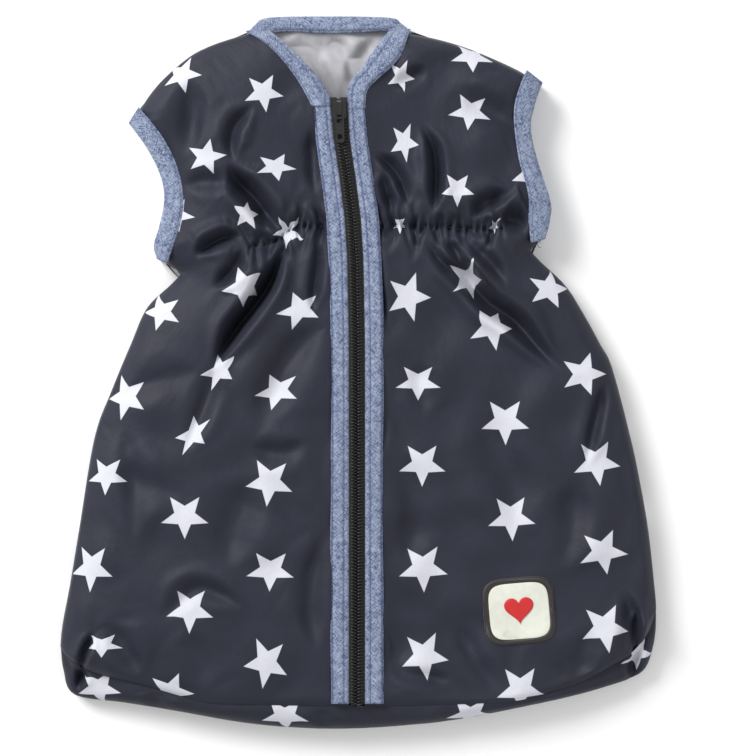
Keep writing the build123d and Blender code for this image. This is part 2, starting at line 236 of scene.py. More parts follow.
# How far in from each edge the front reaches its full height
SIDE_ROUND, SHOULDER_ROUND, FOOT_ROUND = 34.0, 26.0, 24.0


def dome(distance, width, power=2.3):
    """0 at an edge, rising steeply to 1 at the given distance from it."""
    d = np.clip(distance / width, 0, 1)
    return (1 - (1 - d) ** power) ** (1 / power)


# Folds of each half: points, half width, depth, and the height of the lip on their left and on their right
FOLDS = {
    "left": [
        ([(-42, 80), (-50, 61), (-57, 48), (-65, 37), (-75, 24), (-88, 0)], 5.6, 12.5, 3.6, 2.0),
        ([(-82, 12), (-89, -12), (-95, -28), (-104, -50)], 6.0, 2.4, 0.9, 0.4),
        ([(-98, 68), (-91, 75), (-78, 81), (-68, 80)], 4.5, 5.0, 2.5, 1.0),
        ([(-68, 76), (-72, 66), (-80, 56), (-88, 50)], 5.0, 4.0, 2.0, 0.5),
        ([(-24, 80), (-24, 66), (-26, 50), (-27, 34)], 4.0, 3.0, 1.0, 1.0),
        ([(-148, -14), (-120, -6), (-92, 2)], 9.0, 1.6, 0.5, 0.3),
        ([(-16, 30), (-36, 14), (-50, -8), (-60, -34)], 12.0, 3.6, 1.4, 1.4),
        ([(-80, 125), (-71, 113), (-61, 103), (-51, 90), (-43, 82)], 6.5, 9.0, 2.5, 2.5),
        ([(-61, 160), (-70, 152), (-75, 144), (-76, 134), (-73, 124)], 5.0, 3.6, 1.6, 0.8),
        ([(-101, 178), (-100, 155), (-101, 128)], 9.0, 2.4, 1.2, 0.8),
        ([(-28, 150), (-27, 128), (-26, 104)], 6.0, 3.0, 1.2, 0.0),
        ([(-106, 111), (-92, 114), (-72, 112)], 6.0, 1.8, 0.8, 0.6),
        ([(-150, -60), (-128, -66), (-104, -76)], 10.0, 1.6, 0.6, 0.6),
        ([(-60, -60), (-72, -86), (-80, -120)], 13.0, 3.2, 1.2, 1.2),
        ([(-20, -90), (-28, -130), (-26, -170)], 8.0, 2.6, 1.0, 1.0),
        ([(-118, -150), (-100, -130), (-84, -132), (-66, -142)], 6.0, 2.2, 1.4, 0.6),
        ([(-30, -40), (-44, -48), (-66, -46)], 7.0, 2.0, 0.8, 0.8),
        ([(-140, -30), (-134, -70), (-136, -104)], 9.0, 2.2, 0.8, 0.8),
        ([(-150, -150), (-140, -165), (-128, -182)], 8.0, 2.2, 1.0, 0.6),
        ([(-100, -150), (-96, -170), (-92, -192)], 9.0, 1.4, 0.6, 0.6),
    ],
    "right": [
        ([(38, 149), (45, 136), (47, 121), (46, 104), (44, 91)], 4.5, 5.0, 1.0, 2.0),
        ([(9, 131), (20, 124), (27, 113), (30, 98)], 4.5, 4.2, 0.8, 2.0),
        ([(14, 122), (18, 108), (21, 95)], 4.0, 3.2, 0.8, 1.2),
        ([(92, 108), (75, 101), (68, 91)], 5.5, 4.4, 2.0, 1.0),
        ([(84, 94), (95, 91), (104, 92)], 8.0, 6.0, 2.4, 0.5),
        ([(40, 83), (44, 74), (53, 64), (66, 55), (78, 42), (94, 31), (108, 15), (122, 0)],
         6.0, 8.5, 3.5, 2.2),
        ([(52, 82), (58, 72), (66, 62), (72, 52)], 4.5, 4.8, 1.2, 2.4),
        ([(62, 84), (70, 74), (80, 64), (90, 50)], 5.0, 3.0, 1.0, 1.5),
        ([(12, 78), (12, 60), (14, 40), (18, 26)], 3.6, 2.6, 0.0, 1.2),
        ([(152, 2), (146, -16), (140, -40), (136, -58)], 4.6, 3.2, 0.9, 0.5),
        ([(36, 8), (38, -8), (40, -28)], 8.0, 1.8, 0.6, 0.6),
        ([(70, -20), (90, -60), (96, -100)], 14.0, 2.8, 1.0, 1.0),
        ([(22, -40), (34, -78), (30, -120)], 10.0, 2.2, 0.8, 0.8),
        ([(60, -150), (70, -172), (84, -190)], 8.0, 2.2, 1.0, 0.6),
        ([(18, -176), (34, -182), (58, -184)], 5.0, 1.6, 0.6, 0.6),
        ([(118, -120), (128, -96), (132, -60)], 10.0, 2.2, 0.8, 0.8),
        ([(60, 170), (78, 158), (94, 146)], 8.0, 2.0, 1.0, 0.6),
        ([(20, 172), (32, 176), (42, 184)], 5.0, 2.4, 0.8, 0.6),
        ([(160, -130), (164, -150), (158, -176)], 6.0, 3.4, 1.8, 1.0),
        ([(140, -150), (136, -168), (130, -190)], 8.0, 2.0, 0.8, 0.8),
        ([(20, -120), (26, -150), (24, -188)], 9.0, 1.4, 0.5, 0.5),
    ],
}
FOLD_SCALE = 1.6  # the depths and lips above stand for this much more


def fold_height(grid, folds):
    """How much the folds raise or lower the cloth at each point."""
    height = np.zeros(grid.shape[:-1])
    for points, width, depth, left_lip, right_lip in folds:
        path = smooth_path(points, 3.0)
        d, place, side = path_distance(grid, path)
        fade = ease(np.minimum(place, 1 - place) * 2.8)
        reach = width * (0.45 + 0.55 * fade)
        valley = np.exp(-((d / reach) ** 2) * 1.6)
        lip = np.exp(-(((d - 1.6 * reach) / reach) ** 2) * 1.4)
        raised = np.where(side > 0, left_lip, right_lip)
        height += fade * (lip * raised - depth * valley)
    return FOLD_SCALE * height


def pucker_height(grid, elastic, pitch, seed):
    """The gathers that fan out above and below an elastic."""
    d, place, side = path_distance(grid, elastic)
    length = np.linalg.norm(np.diff(elastic, axis=0), axis=1).sum()
    draw = np.random.default_rng(seed)
    count = int(length / pitch)
    height = -4.2 * np.exp(-((d / 5.0) ** 2)) * ease(np.minimum(place, 1 - place) * 12)
    for k in range(count + 1):
        centre = elastic[min(int((k + 0.5 * draw.random()) / count * (len(elastic) - 1)), len(elastic) - 1)]
        for way in (1, -1):
            lean = draw.normal(0, 0.3)
            reach = draw.uniform(8, 24)
            start = centre[:2]
            tip = start + reach * np.array([lean, way])
            line = np.array([start, (start + tip) / 2 + draw.normal(0, 0.8, 2), tip])
            dist, along, _ = path_distance(grid, smooth_path(line, 3.0))
            width = 1.0 + 2.0 * along
            strength = draw.uniform(1.8, 3.6) * np.clip(1 - along, 0, 1) ** 0.7
            height -= strength * np.exp(-((dist / width) ** 2))
    return height


def ripple(grid, seed, scale, size):
    """Gentle unevenness of padded cloth, the same on every run."""
    draw = np.random.default_rng(seed)
    total = np.zeros(grid.shape[:-1])
    for _ in range(14):
        angle = draw.uniform(0, math.tau)
        wave = draw.uniform(0.7, 1.6) / scale
        phase = draw.uniform(0, math.tau)
        run = grid[..., 0] * math.cos(angle) + grid[..., 1] * math.sin(angle)
        total += np.sin(run * wave * math.tau + phase)
    return total * size / 14**0.5


CORNER_PLEATS = [
    ([(-158, -154), (-163, -166), (-168, -182)], 3.0, 4.6, 1.0, 0.6),
    ([(168, -140), (167, -152), (166, -176)], 3.0, 4.2, 1.0, 0.6),
]


def foot_seam_height(x):
    """Height of the seam between front and base: high at the zip, low at the corners."""
    return SEAM_HEIGHT + 17.0 * dome(180.0 - np.abs(x), 150.0)


def front_height(grid, side_name, edges, seed):
    """The front's height above the floor before the cloth is simulated."""
    _, outer, shoulder, seam = edges
    side, _, _ = path_distance(grid, outer)
    top, _, _ = path_distance(grid, shoulder)
    foot, _, _ = path_distance(grid, seam)
    base = np.full(grid.shape[:-1], TOP)
    edge = SEAM_HEIGHT + (base - SEAM_HEIGHT) * dome(side, SIDE_ROUND)
    edge = np.minimum(edge, SEAM_HEIGHT + 2.5 + (base - SEAM_HEIGHT - 2.5) * dome(top, SHOULDER_ROUND))
    low = foot_seam_height(grid[..., 0])
    edge = np.minimum(edge, low + (base - low) * dome(foot, FOOT_ROUND))
    from_zip = np.abs(grid[..., 0] - zip_x(grid[..., 1]))
    inside = ease(side / 14.0) * ease(top / 12.0) * ease((foot + 3) / 14.0) * ease((from_zip - 9.0) / 8.0)
    gathers = pucker_height(grid, WAIST_LINE[side_name], 3.4, seed)
    relief = fold_height(grid, FOLDS[side_name]) + gathers + ripple(grid, seed, 46.0, 1.1)
    sewn = 1.7 * np.exp(-((foot / 2.4) ** 2))
    pleats = fold_height(grid, CORNER_PLEATS) * ease(side / 5.0)
    return edge + relief * inside + pleats - sewn


# ---------------------------------------------------------------- meshes


def grid_faces(nv, nu, closed=False):
    faces = []
    for j in range(nv - 1):
        for i in range(nu - 1 + closed):
            a, b = j * nu + i, j * nu + (i + 1) % nu
            faces.append((a, b, b + nu, a + nu))
    return faces


def mesh_object(name, points, faces, material, smooth=True):
    """An object from points in millimetres."""
    mesh = bpy.data.meshes.new(name)
    mesh.from_pydata((np.asarray(points).reshape(-1, 3) * MM).tolist(), [], faces)
    mesh.materials.append(material)
    mesh.polygons.foreach_set("use_smooth", [smooth] * len(mesh.polygons))
    mesh.update()
    obj = bpy.data.objects.new(name, mesh)
    bpy.context.scene.collection.objects.link(obj)
    return obj


def write_attribute(obj, name, values):
    made = obj.data.attributes.new(name, "FLOAT", "POINT")
    made.data.foreach_set("value", np.asarray(values, np.float32).ravel())


def face_out(obj):
    """Turns faces outwards on a closed mesh."""
    bm = bmesh.new()
    bm.from_mesh(obj.data)
    bmesh.ops.recalc_face_normals(bm, faces=bm.faces)
    bm.to_mesh(obj.data)
    bm.free()


def finer(grid):
    """Twice as many points each way, on a smooth surface through the old ones."""

    def twice(g):
        padded = np.concatenate([2 * g[:1] - g[1:2], g, 2 * g[-1:] - g[-2:-1]])
        middle = (-padded[:-3] + 9 * padded[1:-2] + 9 * padded[2:-1] - padded[3:]) / 16
        out = np.empty((2 * len(g) - 1,) + g.shape[1:])
        out[::2] = g
        out[1::2] = middle
        return out

    return twice(twice(grid).swapaxes(0, 1)).swapaxes(0, 1)


SIM_SCALE = 10.0


def crumple(name, grid, pinned, slack_across, slack_along, limit, frames):
    """Simulates a panel whose cloth is longer than the room it has, so that it buckles into folds."""
    nv, nu = grid.shape[:2]
    rest = grid.copy()
    rest[..., 0] = grid[..., 0] * (1 + slack_across)
    rest[..., 1] = grid[..., 1] * (1 + slack_along)
    obj = mesh_object(name + "_simulated", grid * SIM_SCALE, grid_faces(nv, nu), plain)
    obj.shape_key_add(name="Basis")
    key = obj.shape_key_add(name="rest")
    scaled = rest * SIM_SCALE * MM
    key.data.foreach_set("co", scaled.ravel())
    group = obj.vertex_groups.new(name="pin")
    group.add([int(i) for i in np.flatnonzero(pinned.ravel())], 1.0, "REPLACE")
    cloth = obj.modifiers.new("Cloth", "CLOTH")
    s = cloth.settings
    s.quality = 5
    s.mass = 0.25
    s.tension_stiffness = 25
    s.compression_stiffness = 25
    s.shear_stiffness = 8
    s.bending_model = "ANGULAR"
    s.bending_stiffness = 1.5
    s.tension_damping = s.compression_damping = 12
    s.shear_damping = 8
    s.air_damping = 3
    s.vertex_group_mass = "pin"
    s.pin_stiffness = 1
    s.rest_shape_key = key
    s.effector_weights.gravity = 0
    s.use_pressure = True
    s.uniform_pressure_force = 0.25
    cloth.collision_settings.use_collision = False
    cloth.collision_settings.use_self_collision = False
    cloth.point_cache.frame_start = 1
    cloth.point_cache.frame_end = frames
    scene = bpy.context.scene
    for f in range(1, frames + 1):
        scene.frame_set(f)
    shown = obj.evaluated_get(bpy.context.evaluated_depsgraph_get())
    mesh = shown.to_mesh()
    co = np.empty(len(mesh.vertices) * 3)
    mesh.vertices.foreach_get("co", co)
    shown.to_mesh_clear()
    moved = co.reshape(nv, nu, 3) / MM / SIM_SCALE - grid
    size = np.linalg.norm(moved, axis=-1, keepdims=True)
    moved *= limit * np.tanh(size / limit) / np.maximum(size, 1e-9)
    moved[..., :2] *= 0.6
    scene.frame_set(1)
    bpy.data.objects.remove(obj)
    return grid + moved


# ---------------------------------------------------------------- printed stars

# Centre of each printed star on the front, its tilt in degrees (at 0 one point faces the foot),
# how far the gathers draw it in across and along, and in some how far it leans to the right
STARS = [
    (-105.6, 178.2, 14, 0.84, 0.82), (-56.4, 166.8, 8, 0.82, 0.8), (-90.6, 128.4, 23, 0.84, 0.74),
    (-49.2, 122.4, 10, 0.85, 0.58), (-66.0, 94.2, 28, 0.68, 0.68), (-42.0, 84.0, -5, 0.8, 0.85),
    (-109.0, 94.2, 10, 0.82, 0.7), (-117.6, 36.0, -15, 0.88, 0.78), (-67.0, 50.4, -9, 1.0, 1.0),
    (-34.8, 37.2, -5, 0.92, 0.82, 0.25), (-82.6, 0.6, -6, 0.76, 0.8, 0.4), (-138.6, -15.0, -14, 0.92, 0.96),
    (-48.0, -11.4, -4, 0.98, 0.8, 0.2), (-150.6, -61.8, -2, 0.95, 0.8), (-98.0, -37.2, -8, 0.7, 0.84, 0.5),
    (-52.8, -65.4, -6, 1.0, 1.0), (-103.2, -85.8, 0, 1.0, 0.93), (-159.6, -117.0, -3, 0.96, 1.0),
    (-52.2, -118.2, -2, 1.0, 0.85), (-100.2, -141.6, -1, 0.98, 0.97), (-54.6, -173.4, -10, 0.92, 1.08),
    (-153.0, -163.0, 0, 0.9, 0.5), (-112.0, -191.0, 14, 0.95, 0.9),
    (30.0, 45.0, 16, 0.92, 1.03), (66.0, 55.8, 14, 1.05, 1.0), (114.6, 49.8, 23, 0.95, 0.82),
    (80.4, 27.0, 10, 1.0, 1.0), (36.0, -6.0, 0, 0.98, 0.74), (135.0, -1.2, 19, 0.97, 0.9),
    (88.2, -29.4, 1, 1.02, 0.98), (38.4, -55.2, 0, 0.98, 0.92), (142.8, -54.0, 8, 1.0, 0.96),
    (91.8, -87.0, 3, 1.0, 0.96), (39.0, -117.0, 2, 1.03, 1.0), (146.4, -107.4, 11, 1.03, 0.96),
    (39.6, -169.8, 8, 1.0, 1.04), (147.6, -153.0, 10, 1.02, 1.03), (97.2, -189.6, 2, 1.0, 1.0),
    (25.8, 177.0, 10, 0.6, 0.7), (27.6, 137.4, 10, 0.6, 0.84), (59.4, 109.2, 0, 0.72, 0.72),
    (68.4, 189.6, 0, 0.9, 0.76), (67.2, 156.0, -7, 0.9, 0.78), (25.2, 88.2, 0, 0.4, 0.42),
    (82.2, 87.6, 0, 0.4, 0.4), (103.0, 118.2, 0, 0.8, 0.8),
]
BASE_STARS = [(-156.0, -190.0, 4, 0.95, 0.8), (-43.8, -206.0, 0, 1.0, 0.8), (67.2, -205.0, 0, 1.0, 0.8),
              (168.0, -170.0, 12, 0.8, 0.8)]
# The same print repeats over the back, where the rows are half a step apart
BACK_STARS = [
    (x + 24.0 * (row % 2), y, 8.0 * math.sin(x + 3 * y), 1.0, 1.0)
    for row, y in enumerate(range(-190, 200, 26))
    for x in range(-168, 170, 48)
]


def star_coordinates(grid, stars):
    """Each point's place relative to its nearest star, measured over the cloth so that folds hide some."""
    nv, nu = grid.shape[:2]

    def hidden(axis):
        step = np.diff(grid, axis=axis)
        extra = np.linalg.norm(step, axis=-1) - np.linalg.norm(step[..., :2], axis=-1)
        pad = [(1, 0) if a == axis else (0, 0) for a in range(2)]
        return np.cumsum(np.pad(extra, pad), axis=axis)

    extra_u, extra_v = hidden(1), hidden(0)
    out = np.full((nv, nu, 3), 99.0)
    for x, y, tilt, across, along, *lean in stars:
        gap = grid[..., :2] - (x, y)
        far = np.hypot(gap[..., 0], gap[..., 1])
        j, i = np.unravel_index(np.argmin(far), far.shape)
        if far[j, i] > 14.0:
            continue
        eu = grid[j, min(i + 1, nu - 1), :2] - grid[j, max(i - 1, 0), :2]
        ev = grid[min(j + 1, nv - 1), i, :2] - grid[max(j - 1, 0), i, :2]
        eu, ev = eu / np.linalg.norm(eu), ev / np.linalg.norm(ev)
        flat = gap + 0.8 * (extra_u - extra_u[:, i : i + 1])[..., None] * eu
        flat = flat + 0.8 * (extra_v - extra_v[j : j + 1, :])[..., None] * ev
        flat = flat / (across, along)
        flat[..., 0] -= sum(lean) * flat[..., 1]
        turn = math.radians(tilt - 90)
        local_x = flat[..., 0] * math.cos(turn) + flat[..., 1] * math.sin(turn)
        local_y = -flat[..., 0] * math.sin(turn) + flat[..., 1] * math.cos(turn)
        reach = np.hypot(local_x, local_y)
        use = (reach < out[..., 2]) & (far < 22.0)
        out[use] = np.stack([local_x, local_y, reach], axis=-1)[use]
    return out


def write_vector(obj, name, values):
    made = obj.data.attributes.new(name, "FLOAT_VECTOR", "POINT")
    made.data.foreach_set("vector", np.asarray(values, np.float32).reshape(-1))


def flat_coordinates(grid):
    """Distance across and along the cloth at each point, for the weave."""
    across = np.linalg.norm(np.diff(grid, axis=1), axis=2).mean(axis=0)
    along = np.linalg.norm(np.diff(grid, axis=0), axis=2).mean(axis=1)
    u = np.concatenate([[0], np.cumsum(across)])
    v = np.concatenate([[0], np.cumsum(along)])
    uu, vv = np.meshgrid(u, v)
    return np.stack([uu, vv, np.zeros_like(uu)], axis=-1)


# ---------------------------------------------------------------- materials


def srgb(*levels):
    """A colour from its 0 to 255 levels."""
    out = []
    for level in levels:
        c = level / 255
        out.append(c / 12.92 if c <= 0.04045 else ((c + 0.055) / 1.055) ** 2.4)
    return (*out, 1.0)


def start_material(name, roughness, metallic=0.0, sheen=0.0):
    mat = bpy.data.materials.new(name)
    mat.use_nodes = True
    tree = mat.node_tree
    shader = tree.nodes["Principled BSDF"]
    shader.inputs["Roughness"].default_value = roughness
    shader.inputs["Metallic"].default_value = metallic
    shader.inputs["Sheen Weight"].default_value = sheen
    shader.inputs["Sheen Roughness"].default_value = 0.4
    return mat, tree, shader


def feed(tree, socket, value):
    if hasattr(value, "links"):
        tree.links.new(value, socket)
    else:
        socket.default_value = value


def calc(tree, operation, *values):
    node = tree.nodes.new("ShaderNodeMath")
    node.operation = operation
    for socket, value in zip(node.inputs, values):
        feed(tree, socket, value)
    return node.outputs[0]


def times(tree, a, b):
    return calc(tree, "MULTIPLY", a, b)


def plus(tree, a, b):
    return calc(tree, "ADD", a, b)


def noise(tree, vector, scale, detail=3.0, roughness=0.55):
    node = tree.nodes.new("ShaderNodeTexNoise")
    node.inputs["Scale"].default_value = scale
    node.inputs["Detail"].default_value = detail
    node.inputs["Roughness"].default_value = roughness
    tree.links.new(vector, node.inputs["Vector"])
    return node.outputs[0]


def stretched(tree, vector, scale, turn=0.0):
    node = tree.nodes.new("ShaderNodeMapping")
    node.vector_type = "POINT"
    node.inputs["Scale"].default_value = scale
    node.inputs["Rotation"].default_value = (0, 0, turn)
    tree.links.new(vector, node.inputs["Vector"])
    return node.outputs[0]


def remap(tree, value, low, high, to_low=0.0, to_high=1.0):
    node = tree.nodes.new("ShaderNodeMapRange")
    for socket, number in zip(list(node.inputs)[:5], (value, low, high, to_low, to_high)):
        feed(tree, socket, number)
    return node.outputs[0]


def mix(tree, factor, a, b):
    node = tree.nodes.new("ShaderNodeMix")
    node.data_type = "RGBA"
    feed(tree, node.inputs[0], factor)
    feed(tree, node.inputs[6], a)
    feed(tree, node.inputs[7], b)
    return node.outputs[2]


def paint(tree, shader, factor, a, b):
    feed(tree, shader.inputs["Base Color"], mix(tree, factor, a, b))


def attribute(tree, name):
    node = tree.nodes.new("ShaderNodeAttribute")
    node.attribute_name = name
    return node.outputs["Vector"]


def amount(tree, name):
    node = tree.nodes.new("ShaderNodeAttribute")
    node.attribute_name = name
    return node.outputs["Fac"]


def bump(tree, shader, height, distance, strength=1.0):
    """distance is the height in millimetres that 1 stands for."""
    node = tree.nodes.new("ShaderNodeBump")
    node.inputs["Distance"].default_value = distance * MM
    node.inputs["Strength"].default_value = strength
    tree.links.new(height, node.inputs["Height"])
    tree.links.new(node.outputs[0], shader.inputs["Normal"])


def parts_of(tree, vector):
    node = tree.nodes.new("ShaderNodeSeparateXYZ")
    tree.links.new(vector, node.inputs[0])
    return node.outputs[0], node.outputs[1], node.outputs[2]


def weave(tree, flat, pitch):
    """Over and under of a plain weave, from 0 to 1."""
    u, v, _ = parts_of(tree, flat)
    a = calc(tree, "SINE", times(tree, u, math.tau / pitch))
    b = calc(tree, "SINE", times(tree, v, math.tau / pitch))
    return remap(tree, times(tree, a, b), -1.0, 1.0)


STAR_RADIUS = 14.9
STAR_HOLLOW = 6.5


def star_mask(tree):
    """1 inside a printed star."""
    x, y, near = parts_of(tree, attribute(tree, "star"))
    turns = times(tree, calc(tree, "ARCTAN2", y, x), 5 / math.tau)
    folded = calc(tree, "ABSOLUTE", calc(tree, "SUBTRACT", turns, calc(tree, "ROUND", turns)))
    angle = times(tree, folded, math.tau / 5)
    length = calc(tree, "SQRT", plus(tree, times(tree, x, x), times(tree, y, y)))
    px = times(tree, length, calc(tree, "COSINE", angle))
    py = times(tree, length, calc(tree, "SINE", angle))
    dx = STAR_HOLLOW * math.cos(math.pi / 5) - STAR_RADIUS
    dy = STAR_HOLLOW * math.sin(math.pi / 5)
    size = math.hypot(dx, dy)
    out = plus(tree, times(tree, calc(tree, "SUBTRACT", px, STAR_RADIUS), dy / size),
               times(tree, py, -dx / size))
    inside = remap(tree, out, 0.18, -0.18)
    close = remap(tree, near, 17.0, 16.4)
    return times(tree, inside, close)


def star_shell_material():
    mat, tree, shader = start_material("star_shell", 0.58, sheen=0.02)
    flat = attribute(tree, "flat")
    cloud = noise(tree, flat, 0.035, 3.0)
    ground = mix(tree, remap(tree, cloud, 0.35, 0.65), srgb(31, 33, 45), srgb(37, 39, 52))
    grain = noise(tree, stretched(tree, flat, (3.2, 1.6, 1)), 1.0, 2.0)
    ground = mix(tree, remap(tree, grain, 0.3, 0.7, 0.0, 0.3), ground, srgb(46, 48, 61))
    ink = mix(tree, remap(tree, grain, 0.3, 0.7), srgb(192, 193, 202), srgb(206, 207, 216))
    paint(tree, shader, star_mask(tree), ground, ink)
    feed(tree, shader.inputs["Roughness"], remap(tree, cloud, 0.3, 0.7, 0.54, 0.64))
    shader.inputs["Specular IOR Level"].default_value = 0.24
    crinkle = noise(tree, stretched(tree, flat, (0.16, 0.11, 1)), 1.0, 4.0, 0.6)
    height = plus(tree, times(tree, weave(tree, flat, 0.55), 0.35), grain)
    height = plus(tree, height, times(tree, crinkle, 14.0))
    bump(tree, shader, height, 0.05, 0.6)
    return mat


def lining_material():
    mat, tree, shader = start_material("lining", 0.75, sheen=0.15)
    flat = attribute(tree, "flat")
    cloud = noise(tree, flat, 0.06, 4.0)
    paint(tree, shader, remap(tree, cloud, 0.35, 0.65), srgb(166, 165, 169), srgb(180, 180, 185))
    height = plus(tree, times(tree, weave(tree, flat, 0.7), 0.4), cloud)
    bump(tree, shader, height, 0.12, 0.6)
    return mat


def wadding_material():
    mat, tree, shader = start_material("wadding", 0.95, sheen=0.3)
    flat = attribute(tree, "flat")
    tuft = noise(tree, flat, 0.6, 6.0, 0.7)
    paint(tree, shader, tuft, srgb(225, 226, 228), srgb(250, 250, 250))
    bump(tree, shader, tuft, 0.8, 0.9)
    return mat


def chambray_material():
    """Blue and white yarns woven together, cut on the bias."""
    mat, tree, shader = start_material("chambray", 0.85, sheen=0.2)
    flat = attribute(tree, "flat")
    bias = stretched(tree, flat, (1, 1, 1), math.radians(52))
    warp = noise(tree, stretched(tree, bias, (1.7, 0.26, 1)), 1.0, 3.0, 0.6)
    weft = noise(tree, stretched(tree, bias, (0.26, 1.7, 1)), 1.0, 3.0, 0.6)
    cloud = noise(tree, flat, 0.13, 3.0)
    yarn = plus(tree, times(tree, warp, 0.5), times(tree, weft, 0.5))
    pale = plus(tree, yarn, times(tree, calc(tree, "SUBTRACT", cloud, 0.5), 0.2))
    fleck = noise(tree, stretched(tree, bias, (1.2, 1.2, 1)), 1.0, 4.0, 0.75)
    pale = plus(tree, pale, times(tree, calc(tree, "SUBTRACT", fleck, 0.5), 0.3))
    colour = mix(tree, remap(tree, pale, 0.4, 0.6), srgb(60, 73, 108), srgb(152, 163, 184))
    # Painted shade: the sewn grooves of the binding are painted darker, up to 0.6 of the way to a deep blue.
    sewn = remap(tree, amount(tree, "sewn"), 0.0, 1.0, 0.0, 0.6)
    paint(tree, shader, sewn, colour, srgb(50, 62, 100))
    height = plus(tree, times(tree, weave(tree, bias, 0.8), 0.6), yarn)
    bump(tree, shader, height, 0.16, 0.8)
    return mat


def tape_material():
    mat, tree, shader = start_material("zip_tape", 0.7, sheen=0.1)
    flat = attribute(tree, "flat")
    u, v, _ = parts_of(tree, flat)
    ribs = calc(tree, "SINE", times(tree, plus(tree, v, u), math.tau / 0.8))
    grain = noise(tree, flat, 1.4, 2.0)
    paint(tree, shader, grain, srgb(9, 9, 10), srgb(24, 24, 26))
    bump(tree, shader, plus(tree, times(tree, ribs, 0.4), grain), 0.12, 0.7)
    return mat


def coil_material():
    mat, tree, shader = start_material("zip_coil", 0.3)
    place = attribute(tree, "flat")
    grain = noise(tree, place, 0.8, 2.0)
    paint(tree, shader, grain, srgb(12, 12, 12), srgb(30, 29, 27))
    feed(tree, shader.inputs["Roughness"], remap(tree, grain, 0.3, 0.7, 0.24, 0.4))
    bump(tree, shader, grain, 0.03, 0.4)
    return mat


def object_place(tree, scale):
    """Place within the object, times scale."""
    node = tree.nodes.new("ShaderNodeTexCoord")
    return stretched(tree, node.outputs["Object"], (scale, scale, scale))


def slider_material():
    """Black lacquer over cast metal."""
    mat, tree, shader = start_material("slider", 0.22)
    place = object_place(tree, 1000.0)
    cloud = noise(tree, place, 0.5, 3.0)
    paint(tree, shader, cloud, srgb(8, 8, 9), srgb(20, 20, 22))
    feed(tree, shader.inputs["Roughness"], remap(tree, cloud, 0.3, 0.7, 0.16, 0.32))
    shader.inputs["Coat Weight"].default_value = 0.5
    bump(tree, shader, noise(tree, place, 2.4, 2.0), 0.03, 0.35)
    return mat


def elastic_material():
    mat, tree, shader = start_material("elastic", 0.8, sheen=0.1)
    flat = attribute(tree, "flat")
    u, v, _ = parts_of(tree, flat)
    ribs = calc(tree, "SINE", times(tree, u, math.tau / 1.2))
    grain = noise(tree, flat, 1.0, 2.0)
    paint(tree, shader, grain, srgb(215, 215, 215), srgb(240, 240, 240))
    bump(tree, shader, plus(tree, ribs, grain), 0.15, 0.8)
    return mat


def thread_material(name, dark, light):
    mat, tree, shader = start_material(name, 0.6, sheen=0.2)
    place = object_place(tree, 1000.0)
    twist = noise(tree, place, 2.2, 2.0)
    paint(tree, shader, twist, dark, light)
    bump(tree, shader, twist, 0.06, 0.7)
    return mat


def satin_stitch_material(name, dark, light, sewn_round):
    """Close rows of embroidery thread. sewn_round rows run across the rim, otherwise straight."""
    mat, tree, shader = start_material(name, 0.45, sheen=0.25)
    flat = attribute(tree, "flat")
    u, v, _ = parts_of(tree, flat)
    run = v if sewn_round else plus(tree, u, times(tree, v, 0.25))
    rows = remap(tree, calc(tree, "SINE", times(tree, run, math.tau / 0.6)), -1, 1)
    grain = noise(tree, flat, 1.2, 2.0)
    shade = plus(tree, times(tree, rows, 0.6), times(tree, grain, 0.4))
    paint(tree, shader, shade, dark, light)
    bump(tree, shader, shade, 0.12, 0.7)
    return mat


def twill_face_material():
    mat, tree, shader = start_material("patch_face", 0.6, sheen=0.1)
    flat = attribute(tree, "flat")
    u, v, _ = parts_of(tree, flat)
    twill = remap(tree, calc(tree, "SINE", times(tree, plus(tree, u, v), math.tau / 0.7)), -1, 1)
    cloud = noise(tree, flat, 0.2, 3.0)
    paint(tree, shader, remap(tree, cloud, 0.3, 0.7), srgb(204, 206, 194), srgb(216, 217, 206))
    bump(tree, shader, plus(tree, times(tree, twill, 0.5), cloud), 0.08, 0.6)
    return mat


def floor_material():
    mat, tree, shader = start_material("floor", 0.9)
    place = object_place(tree, 1.0)
    soft = noise(tree, place, 3.0, 2.0)
    paint(tree, shader, soft, (0.93, 0.93, 0.93, 1), (0.94, 0.94, 0.94, 1))
    return mat


SHELL = star_shell_material()
LINING = lining_material()
WADDING = wadding_material()
CHAMBRAY = chambray_material()
TAPE = tape_material()
COIL = coil_material()
SLIDER = slider_material()
ELASTIC = elastic_material()
BLUE_THREAD = thread_material("blue_thread", srgb(58, 74, 128), srgb(96, 112, 164))
DARK_THREAD = thread_material("dark_thread", srgb(24, 24, 30), srgb(52, 52, 62))
RIM = satin_stitch_material("patch_rim", srgb(15, 12, 11), srgb(44, 37, 34), True)
FACE = twill_face_material()
RED = satin_stitch_material("patch_red", srgb(170, 10, 14), srgb(214, 34, 36), False)

# ---------------------------------------------------------------- building blocks


def cloth_panel(name, grid, material, stars=None):
    """A sheet of cloth from a grid of points."""
    obj = mesh_object(name, grid, grid_faces(*grid.shape[:2]), material)
    write_vector(obj, "flat", flat_coordinates(grid))
    if stars is not None:
        write_vector(obj, "star", star_coordinates(grid, stars))
    return obj


